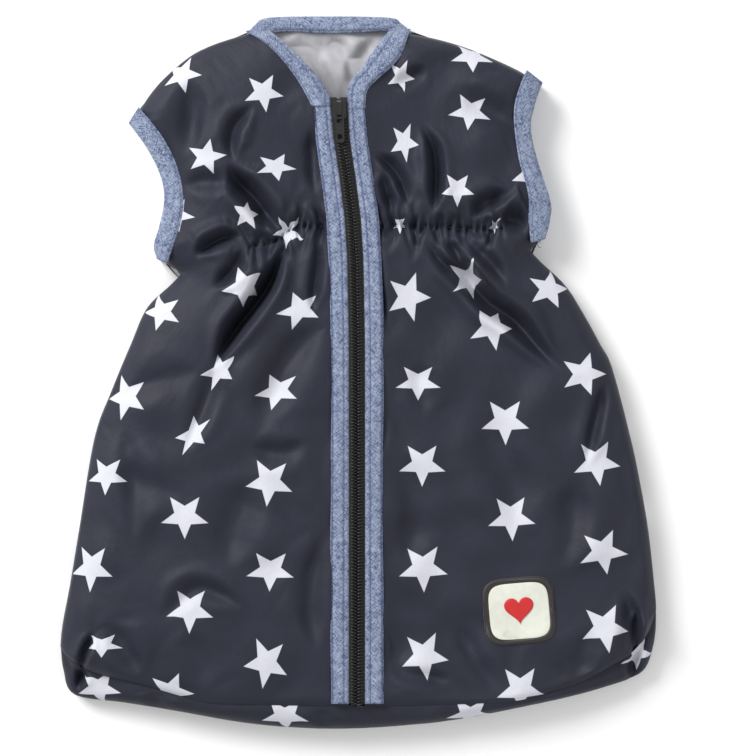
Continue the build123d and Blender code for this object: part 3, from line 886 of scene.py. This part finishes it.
def pad_between(name, top, bottom, material):
    """A closed pad between two grids of the same shape."""
    nv, nu = top.shape[:2]
    count = nv * nu
    faces = grid_faces(nv, nu)
    faces += [tuple(count + k for k in reversed(f)) for f in faces]
    rim = [i for i in range(nu)] + [j * nu + nu - 1 for j in range(1, nv)]
    rim += [(nv - 1) * nu + i for i in range(nu - 2, -1, -1)] + [j * nu for j in range(nv - 2, 0, -1)]
    for a, b in zip(rim, rim[1:] + rim[:1]):
        faces.append((b, a, count + a, count + b))
    points = np.concatenate([top.reshape(-1, 3), bottom.reshape(-1, 3)])
    obj = mesh_object(name, points, faces, material)
    flat = flat_coordinates(top).reshape(-1, 3)
    write_vector(obj, "flat", np.concatenate([flat, flat]))
    face_out(obj)
    return obj


def tree_of(*grids):
    """A lookup of the surface these grids make, for heights seen from above."""
    points, faces = [], []
    for grid in grids:
        faces += [tuple(k + len(points) for k in f) for f in grid_faces(*grid.shape[:2])]
        points += [tuple(p) for p in grid.reshape(-1, 3)]
    return BVHTree.FromPolygons(points, faces)


def heights(tree, plan, default):
    """Surface height under each plan point; the nearest known height where there is none."""
    out = np.full(len(plan), np.nan)
    for k, (x, y) in enumerate(np.asarray(plan)[:, :2]):
        hit = tree.ray_cast(Vector((x, y, 200.0)), Vector((0, 0, -1)))[0]
        if hit is not None:
            out[k] = hit.z
    known = np.flatnonzero(~np.isnan(out))
    if len(known) == 0:
        return np.full(len(plan), default)
    return np.interp(np.arange(len(out)), known, out[known])


def evened(values, reach):
    kernel = np.hanning(2 * reach + 3)
    padded = np.pad(values, reach + 1, mode="edge")
    return np.convolve(padded, kernel / kernel.sum(), mode="valid")


def band(name, near, far, top_near, top_far, drop, material, grooves=(), crown=0.5, gather=0.15, seed=1):
    """A closed padded strip between two edges, with sewn grooves across its width."""
    count = max(20, int(np.linalg.norm(np.diff(near, axis=0), axis=1).sum() / 1.1))
    near, far = even(near[:, :2], count), even(far[:, :2], count)
    top_near, top_far = spread(top_near, count), spread(top_far, count)
    width = np.linalg.norm(far - near, axis=1)
    along = np.concatenate([[0], np.cumsum(np.linalg.norm(np.diff((near + far) / 2, axis=0), axis=1))])
    draw = np.random.default_rng(seed)
    wobble = sum(
        draw.uniform(0.5, 1) * np.sin(along * math.tau / draw.uniform(2.4, 8.0) + draw.uniform(0, 6))
        for _ in range(7)
    )
    wobble *= gather / 2.0
    marks = sorted({0.0, 0.03, 0.09, 0.18, 0.3, 0.42, 0.5, 0.58, 0.7, 0.82, 0.91, 0.97, 1.0}
                   | {round(g + d, 3) for g in grooves for d in (-0.05, 0.0, 0.05)})
    rows, flats = [], []
    for s in marks:
        lift = crown * (1 - (2 * s - 1) ** 4) - 0.55 * crown
        sewn = sum(math.exp(-(((s - g) / 0.05) ** 2)) for g in grooves)
        edge = 0.55 * math.exp(-((s / 0.03) ** 2)) + 0.55 * math.exp(-(((1 - s) / 0.03) ** 2))
        z = top_near * (1 - s) + top_far * s + lift - edge - 0.42 * sewn + wobble * (0.4 + sewn)
        rows.append(np.column_stack([near * (1 - s) + far * s, z]))
        flats.append(np.column_stack([s * width, along, np.zeros(count)]))
    for s in (1.0, 0.75, 0.5, 0.25, 0.0):
        z = top_near * (1 - s) + top_far * s - drop
        rows.append(np.column_stack([near * (1 - s) + far * s, z]))
        flats.append(np.column_stack([2 * width + drop - s * width, along, np.zeros(count)]))
    points = np.stack(rows, axis=1)
    around = points.shape[1]
    faces = grid_faces(count, around, closed=True)
    faces += [tuple(range(around)), tuple((count - 1) * around + k for k in range(around))]
    obj = mesh_object(name, points, faces, material)
    write_vector(obj, "flat", np.stack(flats, axis=1))
    # Mask of the sewn grooves on the top face; the chambray paints shade into the grooves with it.
    top = np.array([sum(math.exp(-(((s - g) / 0.045) ** 2)) for g in grooves) for s in marks] + [0.0] * 5)
    write_attribute(obj, "sewn", np.tile(top, count))
    face_out(obj)
    return obj


def tube(path, radius, ring=6):
    """Points and faces of a round cord along a path."""
    tangent = np.gradient(path, axis=0)
    tangent /= np.maximum(np.linalg.norm(tangent, axis=1, keepdims=True), 1e-9)
    up = np.tile([0.3, 0.2, 1.0], (len(path), 1))
    side = np.cross(tangent, up)
    side /= np.maximum(np.linalg.norm(side, axis=1, keepdims=True), 1e-9)
    up = np.cross(side, tangent)
    turn = np.arange(ring) * math.tau / ring
    radius = np.broadcast_to(radius, len(path))
    points = path[:, None] + radius[:, None, None] * (
        np.cos(turn)[None, :, None] * side[:, None] + np.sin(turn)[None, :, None] * up[:, None]
    )
    faces = grid_faces(len(path), ring, closed=True)
    faces += [tuple(range(ring)), tuple((len(path) - 1) * ring + k for k in range(ring))]
    return points.reshape(-1, 3), faces


def cords(name, paths, radii, material, ring=6):
    """One object from several cords."""
    points, faces, flats = [], [], []
    total = 0
    for path, radius in zip(paths, radii):
        p, f = tube(np.asarray(path, float), radius, ring)
        faces += [tuple(k + total for k in face) for face in f]
        points.append(p)
        run = np.repeat(np.arange(len(path)), ring)
        around = np.tile(np.arange(ring), len(path))
        flats.append(np.column_stack([around * 0.5, run * 0.5, np.zeros(len(run))]))
        total += len(p)
    obj = mesh_object(name, np.concatenate(points), faces, material)
    write_vector(obj, "flat", np.concatenate(flats))
    face_out(obj)
    return obj


def stitches(name, lines, pitch, length, radius, material):
    """Machine stitches lying along lines of points."""
    paths, radii = [], []
    for line in lines:
        run = np.linalg.norm(np.diff(line, axis=0), axis=1).sum()
        fine = even(line, max(4, int(run / 0.3)))
        step = max(1, int(round(pitch / 0.3)))
        reach = max(2, int(round(length / 0.3)))
        for k in range(0, len(fine) - reach, step):
            piece = even(fine[k : k + reach + 1], 5)
            piece[:, 2] += np.array([-0.22, 0.05, 0.12, 0.05, -0.22])
            paths.append(piece)
            radii.append(radius * np.array([0.55, 1.0, 1.0, 1.0, 0.55]))
    return cords(name, paths, radii, material)


def beside(near, far, share, top):
    """A line part of the way between two edges, at the given heights."""
    count = len(top)
    a, b = even(near[:, :2], count), even(far[:, :2], count)
    return np.column_stack([a * (1 - share) + b * share, top])


# ---------------------------------------------------------------- front halves


def front_edges(side):
    """The edges of one half of the front: along the zip, outside, over the shoulder and above the foot."""
    way = SIDES[side]
    return (
        joined(V_NECK[side] + beside_zip(way, BAND_INNER)[1:]),
        joined(ARM[side], [ARM[side][-1]] + FLANK[side][:1], FLANK[side]),
        smooth_path(SHOULDER[side]),
        smooth_path([(zip_x(FOOT_END) + way * BAND_INNER, FOOT_END)] + SEAM[side][1:]),
    )


def front_grid(side, seed):
    near, outer, shoulder, seam = EDGES[side]
    grid = coons(near, outer, shoulder, seam, 92, 200)
    grid[..., 2] = front_height(grid, side, EDGES[side], seed)
    return grid


def pinned_points(grid, from_elastic):
    """The sewn edges and the line of the elastic."""
    pin = np.zeros(grid.shape[:2], bool)
    pin[:3] = pin[-2:] = True
    pin[:, :2] = pin[:, -2:] = True
    pin |= np.abs(grid[..., 0] - zip_x(grid[..., 1])) < 16.0
    return pin | (from_elastic < 2.5)


def simulate_front(side, grid):
    from_elastic, _, _ = path_distance(grid, WAIST_LINE[side])
    across = 0.035 + 0.05 * np.exp(-((from_elastic / 22.0) ** 2))
    return finer(crumple(side, grid, pinned_points(grid, from_elastic), across, 0.02, 4.0, 22))


EDGES = {side: front_edges(side) for side in SIDES}
FRONT_REST = {"left": front_grid("left", 3), "right": front_grid("right", 5)}
FRONT = {side: simulate_front(side, FRONT_REST[side]) for side in SIDES}
shells = {side: cloth_panel(f"front_{side}_shell", FRONT[side], SHELL, STARS) for side in SIDES}
front_tree = tree_of(*FRONT.values())


def lowest_nearby(level, reach):
    """The lowest height among the neighbours of each point of a grid."""
    padded = np.pad(level, reach, mode="edge")
    nv, nu = level.shape
    steps = range(2 * reach + 1)
    return np.min([padded[j : j + nv, i : i + nu] for j in steps for i in steps], axis=0)


def calmed(level):
    """A surface that stays under every nearby dip of the given heights, with no sharp creases."""
    low = lowest_nearby(level, 4)
    padded = np.pad(low, 2, mode="edge")
    nv, nu = level.shape
    return np.mean([padded[j : j + nv, i : i + nu] for j in range(5) for i in range(5)], axis=0)


LINING_DEPTH = 4.4


def layers_below(side_name):
    """Upper and lower face of the wadding, and the lining under it."""
    rest = FRONT_REST[side_name]
    _, outer, shoulder, seam = EDGES[side_name]
    side, _, _ = path_distance(rest, outer)
    top, _, _ = path_distance(rest, shoulder)
    foot, _, _ = path_distance(rest, seam)
    near = np.minimum(np.minimum(side, top), foot)
    sunk = 1.5 + (LINING_DEPTH - 1.5) * ease(near / 24.0)
    upper, lower, lining = rest.copy(), rest.copy(), rest.copy()
    level = calmed(FRONT[side_name][::2, ::2, 2])
    upper[..., 2] = level - 0.4
    lining[..., 2] = level - sunk
    lower[..., 2] = lining[..., 2] + 0.9
    return upper[3:-3, 3:-3], lower[3:-3, 3:-3], lining


LAYERS = {side: layers_below(side) for side in SIDES}
linings = {side: cloth_panel(f"front_{side}_lining", LAYERS[side][2], LINING) for side in SIDES}
waddings = {side: pad_between(f"front_{side}_wadding", *LAYERS[side][:2], WADDING) for side in SIDES}

# ---------------------------------------------------------------- base and back

BASE_LINE = smooth_path([
    (-180.2, -166.0), (-178.4, -180.0), (-171.4, -195.0), (-141.0, -199.6), (-107.0, -205.0),
    (-70.0, -211.4), (-36.0, -214.6), (-3.6, -215.1), (30.0, -213.0), (61.0, -209.4),
    (106.0, -200.6), (133.0, -194.6), (151.0, -189.6), (165.0, -185.0), (173.6, -179.0),
    (178.0, -168.0), (180.2, -156.0), (180.4, -141.6),
])
BASE_FOLDS = [
    ([(-162, -166), (-165, -176), (-170, -194)], 3.4, 6.0, 1.0, 0.6),
    ([(170, -150), (168, -164), (163, -192)], 4.0, 5.0, 1.0, 0.6),
    ([(-120, -192), (-122, -204)], 6.0, 1.5, 0.6, 0.6),
    ([(-20, -200), (-24, -214)], 7.0, 1.5, 0.6, 0.6),
    ([(50, -199), (56, -213)], 7.0, 1.5, 0.6, 0.6),
]


def base_grid(inset, columns=200, rows=22):
    """From the seam out over the foot edge and down to the floor."""
    seam = even(np.vstack([EDGES["left"][3][::-1], EDGES["right"][3]]), columns)
    foot = even(BASE_LINE, columns)
    high = foot_seam_height(seam[:, 0]) - 2.0 - inset
    turn = np.linspace(0, 1, rows)
    grid = np.zeros((rows, columns, 3))
    for k, t in enumerate(turn):
        angle = t * math.pi / 2 * 1.55
        out = min(1.0, math.sin(min(angle, math.pi / 2)) ** 0.85)
        back = 0.0 if angle < math.pi / 2 else 0.28 * (1 - math.sin(angle))
        share = out - back
        drop = (1 - math.cos(min(angle, math.pi))) / (1 - math.cos(math.pi / 2 * 1.55))
        grid[k, :, :2] = seam[:, :2] * (1 - share) + foot[:, :2] * share
        grid[k, :, 2] = high * (1 - drop) + (0.9 + inset) * drop
    grid[..., :2] *= 1 - inset * 0.004
    relief = fold_height(grid, BASE_FOLDS) + ripple(grid, 11, 30.0, 0.5)
    grid[..., 2] += relief * (1 - turn[:, None]) * ease(turn[:, None] * 8)
    return grid


base_out = base_grid(0.0)
base_shell = cloth_panel("base_shell_cloth", finer(base_out), SHELL, BASE_STARS)
base_in = base_grid(3.6)
base_lining = cloth_panel("base_lining_cloth", base_in[5:], LINING)
base_wadding = pad_between("base_wadding_pad", base_grid(1.0)[5:], base_grid(3.2)[5:], WADDING)

# The back is cut to the shoulders and sides of the front
BACK_EDGES = [np.vstack([rest[0], rest[1:, -1]]) * (1, 1, 0) for rest in FRONT_REST.values()]


def back_grid(level, edge_level, inset):
    top = smooth_path(NECK_TOP)
    left, right = BACK_EDGES
    grid = coons(left, right, top, BASE_LINE, 110, 220)
    rim = np.vstack([left, BASE_LINE, right[::-1], top[::-1]])
    away, _, _ = path_distance(grid, rim)
    grid[..., 2] = level + (edge_level - level) * (1 - dome(away, 16.0))
    centre = np.array([0.0, -10.0])
    grid[..., :2] = centre + (grid[..., :2] - centre) * (1 - inset / 200.0)
    return grid


back_out = back_grid(0.5, 8.6, 0.6)
unevenness = (1 + ripple(back_out, 17, 40.0, 1.0)).clip(0, 2)
back_out[..., 2] += 0.25 * unevenness * ease((8.6 - back_out[..., 2]) / 6.0)
back_shell = cloth_panel("back_shell_cloth", back_out, SHELL, BACK_STARS)
back_in = back_grid(5.2, 8.2, 5.0)
creases = fold_height(back_in, [
    ([(-20, 205), (-8, 192), (4, 176)], 5.0, 1.6, 1.2, 0.6),
    ([(12, 204), (2, 190), (-6, 170)], 5.0, 1.4, 0.8, 1.2),
    ([(-50, 196), (-30, 194), (-6, 198)], 6.0, 1.2, 0.8, 0.4),
    ([(-34, 200), (-22, 182), (-14, 160)], 4.0, 1.2, 0.8, 0.8),
])
back_in[..., 2] += np.maximum(ripple(back_in, 23, 26.0, 0.7) + creases, -0.9)
back_lining = cloth_panel("back_lining_cloth", finer(back_in), LINING)
pad_top, pad_bottom = back_in.copy(), back_out.copy()
pad_top[..., 2] -= 0.3
pad_bottom[..., 2] += 0.25
pad_bottom[..., :2] = pad_top[..., :2]
pad_top[..., 2] = np.maximum(pad_top[..., 2], pad_bottom[..., 2] + 0.1)
back_wadding = pad_between("back_wadding_pad", pad_top, pad_bottom, WADDING)

# ---------------------------------------------------------------- bindings


def seated(path, lift, reach=10, default=20.0):
    """Heights just above the front along a path, evened out."""
    level = heights(front_tree, path, default)
    padded = np.pad(level, 3, mode="edge")
    highest = np.max([padded[k : k + len(level)] for k in range(7)], axis=0)
    return evened(highest, reach) + lift


arm_left_in = smooth_path([
    (-131.2, 158.6), (-118.0, 142.4), (-108.5, 124.0), (-104.4, 104.0), (-106.4, 88.0),
    (-110.8, 75.0), (-114.4, 65.4),
])
arm_left_out = smooth_path([
    (-137.8, 149.6), (-126.4, 134.0), (-118.6, 118.0), (-116.2, 104.0), (-119.0, 88.0),
    (-122.6, 76.0), (-121.0, 68.0),
])
arm_right_in = smooth_path([
    (101.0, 180.8), (95.6, 168.0), (93.4, 153.6), (96.2, 128.0), (102.0, 106.0), (102.2, 90.0),
    (103.6, 77.8),
])
arm_right_out = smooth_path([
    (111.0, 173.8), (106.6, 162.0), (103.8, 147.0), (107.4, 128.0), (115.8, 101.0), (114.4, 90.0),
    (111.6, 80.0),
])
neck_left_out = smooth_path([
    (-67.4, 205.0), (-54.0, 195.4), (-43.8, 184.8), (-34.8, 172.2), (-27.4, 158.6),
])
neck_left_in = smooth_path([
    (-54.4, 206.4), (-34.8, 188.4), (-24.0, 176.4), (-18.6, 168.0), (-15.8, 158.6),
])
neck_right_out = smooth_path([
    (31.6, 206.6), (25.2, 188.4), (12.0, 175.2), (5.6, 168.0), (4.4, 157.0),
])
neck_right_in = smooth_path([
    (19.8, 206.6), (2.4, 182.4), (-5.4, 172.2), (-6.6, 166.0), (-6.4, 157.0),
])
neck_back_out = smooth_path([
    (-68.2, 203.0), (-62.0, 210.4), (-54.0, 214.4), (-19.0, 215.1), (18.6, 214.4), (26.0, 211.0),
    (33.0, 204.6),
])
neck_back_in = smooth_path([
    (-56.0, 203.0), (-50.0, 205.0), (-38.0, 205.6), (-19.0, 204.6), (6.0, 205.4), (16.0, 206.0),
    (22.0, 204.0),
])


def facing(line_in, line_out, lift, floor_height):
    outer = even(line_out, len(line_in))
    near = np.max([seated(line_in * (1 - k) + outer * k, lift, 4) for k in (0.0, 0.2, 0.4, 0.6)], axis=0)
    near = evened(near, 6)
    ends = np.linspace(0, 1, len(line_out))
    lowered = 2.0 + 3.0 * (1 - ease(np.minimum(ends, 1 - ends) / 0.14))
    return near, np.maximum(spread(near, len(line_out)) - lowered, floor_height)


def armhole(name, line_in, line_out, levels, seed):
    return band(name, line_in, line_out, *levels, 5.0, CHAMBRAY, grooves=(0.12,), crown=1.1, gather=0.16,
                seed=seed)


arm_right_levels = facing(arm_right_in, arm_right_out, 0.9, 12.0)
left_armhole = armhole(
    "left_armhole_edge", arm_left_in, arm_left_out, facing(arm_left_in, arm_left_out, 0.9, 12.0), 21
)
right_armhole = armhole("right_armhole_edge", arm_right_in, arm_right_out, arm_right_levels, 22)

tab_in = smooth_path([(103.4, 100.0), (103.0, 90.0), (104.2, 77.4)])
tab_out = smooth_path([(115.6, 101.4), (115.0, 90.0), (112.2, 79.6)])
tab_top = np.interp(tab_in[::-1, 1], arm_right_in[::-1, 1], arm_right_levels[0][::-1])[::-1] + 1.9
right_tab = band("right_armhole_tab", tab_in, tab_out, tab_top, spread(tab_top, len(tab_out)) - 1.6, 2.0,
                 CHAMBRAY, grooves=(0.12,), crown=1.2, gather=0.1, seed=28)


def back_facing(name, line_in, line_out, seed):
    low = np.full(len(line_in), 8.4), np.full(len(line_out), 8.4)
    return band(name, line_in, line_out, *low, 7.0, CHAMBRAY, grooves=(0.12,), crown=0.8, seed=seed)


left_armhole_under = back_facing("left_armhole_under", arm_left_in, arm_left_out, 23)
right_armhole_under = back_facing("right_armhole_under", arm_right_in, arm_right_out, 24)


def neck_band(name, outer, inner, seam_line, seed):
    """A neck binding, lying just over the edge of the front."""
    count = 120
    under = even(smooth_path(seam_line), count)
    level = np.maximum(heights(front_tree, even(outer, count), 14.0), heights(front_tree, under, 14.0))
    level = evened(level, 6) + 1.2
    return band(name, outer, inner, level, level - 0.4, 5.0, CHAMBRAY, grooves=(0.08, 0.72), crown=1.1,
                gather=0.14, seed=seed)


necks = {
    "left": neck_band("left_neck_edge", neck_left_out, neck_left_in, V_NECK["left"], 25),
    "right": neck_band("right_neck_edge", neck_right_out, neck_right_in, V_NECK["right"], 26),
}
back_neck = band("back_neck_edge", neck_back_in, neck_back_out, np.full(len(neck_back_in), 10.4),
                 np.full(len(neck_back_out), 9.6), 8.0, CHAMBRAY, grooves=(0.14,), crown=1.2, gather=0.14,
                 seed=27)

# ---------------------------------------------------------------- zip


def zip_strip(side, inner, outer, start):
    ys = np.arange(start, BAND_FOOT - 0.2, -2.0)
    near = np.column_stack([zip_x(ys) + side * inner, ys])
    far = np.column_stack([zip_x(ys) + side * outer, ys])
    return near, far


def zip_band(name, side, start, seed):
    near, far = zip_strip(side, BAND_INNER, BAND_OUTER, start)
    draw = np.random.default_rng(seed)
    sway = 0.5 * np.sin(near[:, 1] / 31 + draw.uniform(0, 6))
    sway = sway + 0.25 * np.sin(near[:, 1] / 9 + draw.uniform(0, 6))
    far[:, 0] += 0.6 * side * sway
    waist = -0.9 * np.exp(-(((near[:, 1] - 87) / 9) ** 2))
    return band(name, near, far, np.full(len(near), BAND_TOP), np.full(len(far), BAND_TOP - 0.2) + waist, 1.1,
                CHAMBRAY, grooves=(0.3, 0.93), crown=1.0, gather=0.12, seed=seed)


bands = {
    "left": zip_band("left_zip_facing", -1, 166.0, 31),
    "right": zip_band("right_zip_facing", 1, 160.0, 32),
}


def tape(name, side):
    near, far = zip_strip(side, 0.9, 8.0, 164.0)
    top = np.full(len(near), TAPE_TOP)
    return band(name, near, far, top, top, 0.4, TAPE, crown=0.08, gather=0.02, seed=33)


tapes = {side: tape(f"{side}_zip_ribbon", way) for side, way in SIDES.items()}


COIL_PITCH = 1.9


def coil(name, side, shift):
    """One row of the zip's wound spiral."""
    turns = int((COIL_HEAD - BAND_FOOT) / COIL_PITCH)
    turn = np.arange(turns * 12 + 1) / 12.0
    y = COIL_HEAD - (turn + shift) * COIL_PITCH
    x = zip_x(y) + side * (1.75 + 1.6 * np.cos(turn * math.tau))
    z = (COIL_LOW + COIL_HIGH) / 2 + 0.5 * np.sin(turn * math.tau)
    return cords(name, [np.column_stack([x, y, z])], [0.42], COIL, ring=6)


coils = {"left": coil("left_zip_spiral", -1, 0.0), "right": coil("right_zip_spiral", 1, 0.5)}


BAND_SEAMS = (0.3, 0.93)  # the sewn rows, as shares of the width of a zip band


def seam_rows(name, side, start):
    near, far = zip_strip(side, BAND_INNER, BAND_OUTER, start)
    lines = [beside(near, far, share, np.full(len(near), BAND_TOP + 0.1)) for share in BAND_SEAMS]
    return stitches(name, lines, 2.4, 1.7, 0.17, BLUE_THREAD)


band_threads = {
    "left": seam_rows("left_zip_facing_thread", -1, 164.0),
    "right": seam_rows("right_zip_facing_thread", 1, 158.0),
}

# ---------------------------------------------------------------- elastic


def elastic_strip(name, line, seed):
    """A flat elastic lying on the lining."""
    upper, lower = line[:, :2] + (0, 2.4), line[:, :2] - (0, 2.4)
    level = np.max([heights(lining_tree, edge, 18.0) for edge in (lower, line, upper)], axis=0)
    padded = np.pad(level, 2, mode="edge")
    level = evened(np.max([padded[k : k + len(level)] for k in range(5)], axis=0), 2) + 1.3
    return band(name, lower, upper, level, level, 0.9, ELASTIC, crown=0.2, gather=0.3, seed=seed)


lining_tree = tree_of(*(layers[2] for layers in LAYERS.values()))
elastics = {
    "left": elastic_strip("left_waist_elastic", WAIST_LINE["left"], 41),
    "right": elastic_strip("right_waist_elastic", WAIST_LINE["right"], 42),
}


def waist_thread(name, line):
    z = evened(heights(front_tree, line, 22.0), 1) + 0.12
    return stitches(name, [np.column_stack([line[:, :2], z])], 2.6, 1.6, 0.2, DARK_THREAD)


waist_threads = {side: waist_thread(f"{side}_waist_thread", WAIST_LINE[side]) for side in SIDES}


def loose_ends():
    """Short curled ends of thread where the right armhole meets the side."""
    draw = np.random.default_rng(51)
    paths = []
    for x, y in ((104.0, 79.0), (106.0, 78.2), (108.4, 78.0)):
        turn = np.linspace(0, draw.uniform(4.0, 6.0), 28)
        size = np.linspace(1.5, 0.7, 28)
        lean = draw.uniform(0, math.tau)
        curl = np.column_stack([np.sin(turn + lean), -np.cos(turn + lean)]) * size[:, None]
        drift = np.linspace(0, 1, 28)[:, None] * (1.5, -2.4)
        paths.append(np.column_stack([(x, y) + curl + drift, 15.0 - np.linspace(0, 3.0, 28)]))
    return cords("loose_threads", paths, [0.14] * 3, DARK_THREAD)


loose_threads = loose_ends()

# ---------------------------------------------------------------- slider


def lacquer(node, width):
    """Softens the edges of a CAD solid and gives it its finish."""
    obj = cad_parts[node]
    obj.data.materials.clear()
    obj.data.materials.append(SLIDER)
    soft = obj.modifiers.new("Bevel", "BEVEL")
    soft.width = width * MM
    soft.segments = 3
    soft.limit_method = "ANGLE"
    soft.angle_limit = math.radians(40)


for node in ("slider_body", "slider_crown", "pull_tab"):
    lacquer(node, 0.22)

# ---------------------------------------------------------------- patch

PATCH_TURN = math.radians(5)


def rounded(width, height, power, count=160):
    t = np.arange(count) * math.tau / count
    c, s = np.cos(t), np.sin(t)
    return np.column_stack([width / 2 * np.sign(c) * np.abs(c) ** (2 / power),
                            height / 2 * np.sign(s) * np.abs(s) ** (2 / power)])


def heart(width, count=160):
    t = np.arange(count) * math.tau / count
    x = 16 * np.sin(t) ** 3
    y = 13 * np.cos(t) - 5 * np.cos(2 * t) - 2 * np.cos(3 * t) - np.cos(4 * t)
    return np.column_stack([x, y + 2.5]) * width / 32


def patch_height(plan):
    """The front's height under the patch; the stiff patch bridges small hollows."""
    level = heights(front_tree, plan, 27.0)
    centre = heights(front_tree, PATCH[None], 27.0)[0]
    return 0.75 * level + 0.25 * centre


def filled(height, steps, edge):
    """The profile of a piece with no hole: level from the middle outwards, then its edge."""
    return [(0.02, height)] + [(k / steps, height) for k in range(1, steps)] + edge


def raised_piece(name, outline, profile, material, hole=False):
    """A low piece of rings that follow the outline, each with its share of the size and its height."""
    cos, sin = math.cos(PATCH_TURN), math.sin(PATCH_TURN)
    rings, flats = [], []
    edge = np.linalg.norm(np.diff(np.vstack([outline, outline[:1]]), axis=0), axis=1)
    run = np.concatenate([[0], np.cumsum(edge)])[: len(outline)]
    for share, height in profile:
        flat = outline * share
        x, y = flat.T
        plan = PATCH + np.column_stack([x * cos - y * sin, x * sin + y * cos])
        rings.append(np.column_stack([plan, patch_height(plan) + height]))
        along = run if hole else flat[:, 1]
        across = np.full(len(run), share * 20) if hole else flat[:, 0]
        flats.append(np.column_stack([across, along, np.zeros(len(run))]))
    if hole:
        rings.append(rings[0])
        flats.append(flats[0])
    points = np.stack(rings)
    faces = grid_faces(len(rings), len(outline), closed=True)
    if not hole:
        faces.append(tuple(range(len(outline))))
        faces.append(tuple((len(rings) - 1) * len(outline) + k for k in range(len(outline))))
    obj = mesh_object(name, points, faces, material)
    write_vector(obj, "flat", np.stack(flats))
    bm = bmesh.new()
    bm.from_mesh(obj.data)
    bmesh.ops.remove_doubles(bm, verts=bm.verts, dist=1e-7)
    bm.to_mesh(obj.data)
    bm.free()
    face_out(obj)
    return obj


RIM_PROFILE = [(0.82, 0.1), (0.83, 0.9), (0.86, 1.25), (0.91, 1.4), (0.96, 1.25), (0.99, 0.8), (1.0, 0.1)]
GROUND_PROFILE = filled(1.0, 12, [(0.98, 0.95), (1.0, 0.6), (1.0, 0.1)])
MOTIF_PROFILE = filled(1.75, 8, [(0.95, 1.6), (1.0, 1.2), (1.0, 0.95)])
patch_rim = raised_piece("patch_rim", rounded(43.0, 40.0, 4.6), RIM_PROFILE, RIM, hole=True)
patch_ground = raised_piece("patch_ground", rounded(37.0, 34.4, 4.2), GROUND_PROFILE, FACE)
patch_motif = raised_piece("patch_motif", heart(17.6), MOTIF_PROFILE, RED)

# ---------------------------------------------------------------- the still pieces go with the bag; every piece hides the CAD nodes it stands for


def bend_with_flap(obj):
    """Bakes the placement of a piece beside the zip into its mesh."""
    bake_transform(obj)


def half_pieces(side):
    """The pieces of one half, the CAD nodes each stands for and its finish."""
    in_two = [
        (shells, "shell", "star_shell"), (linings, "lining", "lining"), (waddings, "wadding", "wadding"),
        (elastics, "elastic", "elastic"), (bands, "zip_band", "binding"), (tapes, "zip_tape", "zip_tape"),
        (coils, "coil", "zip_coil"),
    ]
    rows = [
        (made[side], (f"{side}_side_{node}", f"{side}_flap_{node}"), finish)
        for made, node, finish in in_two
    ]
    rows.insert(4, (necks[side], (f"{side}_neck_binding",), "binding"))
    return rows + [(band_threads[side], (), "binding"), (waist_threads[side], (), "star_shell")]


STILL_PIECES = [
    (base_shell, ("base_shell",), "star_shell"),
    (base_lining, ("base_lining",), "lining"),
    (base_wadding, ("base_wadding",), "wadding"),
    (back_shell, ("back_shell",), "star_shell"),
    (back_lining, ("back_lining",), "lining"),
    (back_wadding, ("back_wadding",), "wadding"),
    (left_armhole, ("left_armhole_binding",), "binding"),
    (right_armhole, ("right_armhole_binding",), "binding"),
    (left_armhole_under, (), "binding"),
    (right_armhole_under, (), "binding"),
    (right_tab, (), "binding"),
    (loose_threads, (), "binding"),
    (back_neck, ("back_neck_binding",), "binding"),
    (patch_rim, ("patch_frame",), "patch_brown"),
    (patch_ground, ("patch_face",), "patch_face"),
    (patch_motif, ("patch_heart",), "patch_heart"),
]
for side in (*SIDES, None):
    for obj, nodes, finish in half_pieces(side) if side else STILL_PIECES:
        if side:
            bend_with_flap(obj)
        else:
            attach(obj, "bag")
        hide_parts(*nodes)


# ---------------------------------------------------------------- floor, light and camera


WORLD_LIGHT = 0.62
LAMPS = (("key", (-1.3, 1.2, 1.35), 1.1, 52.0), ("fill", (1.4, -0.6, 1.7), 1.6, 10.0))


def studio():
    bpy.ops.mesh.primitive_plane_add(size=6.0, location=(0, 0, -0.0002))
    ground = bpy.context.object
    ground.name = "floor"
    ground.data.materials.append(floor_material())
    world = bpy.data.worlds.new("studio")
    bpy.context.scene.world = world
    world.use_nodes = True
    world.node_tree.nodes["Background"].inputs[0].default_value = (1, 1, 1, 1)
    world.node_tree.nodes["Background"].inputs[1].default_value = WORLD_LIGHT
    for name, place, size, power in LAMPS:
        data = bpy.data.lights.new(name, "AREA")
        data.size = size
        data.energy = power
        lamp = bpy.data.objects.new(name, data)
        lamp.location = place
        lamp.rotation_euler = (-Vector(place)).to_track_quat("-Z", "Y").to_euler()
        bpy.context.scene.collection.objects.link(lamp)
    bpy.context.scene.view_settings.view_transform = "Standard"


def photo_camera():
    """Straight above, so that the picture is 0.449 m wide 20 mm above the floor."""
    data = bpy.data.cameras.new("camera")
    data.sensor_fit = "HORIZONTAL"
    data.sensor_width = 36.0
    data.lens = 118.7
    camera = bpy.data.objects.new("camera", data)
    camera.location = (0.0096, -0.0036, 1.5)
    bpy.context.scene.collection.objects.link(camera)
    bpy.context.scene.camera = camera


studio()
photo_camera()
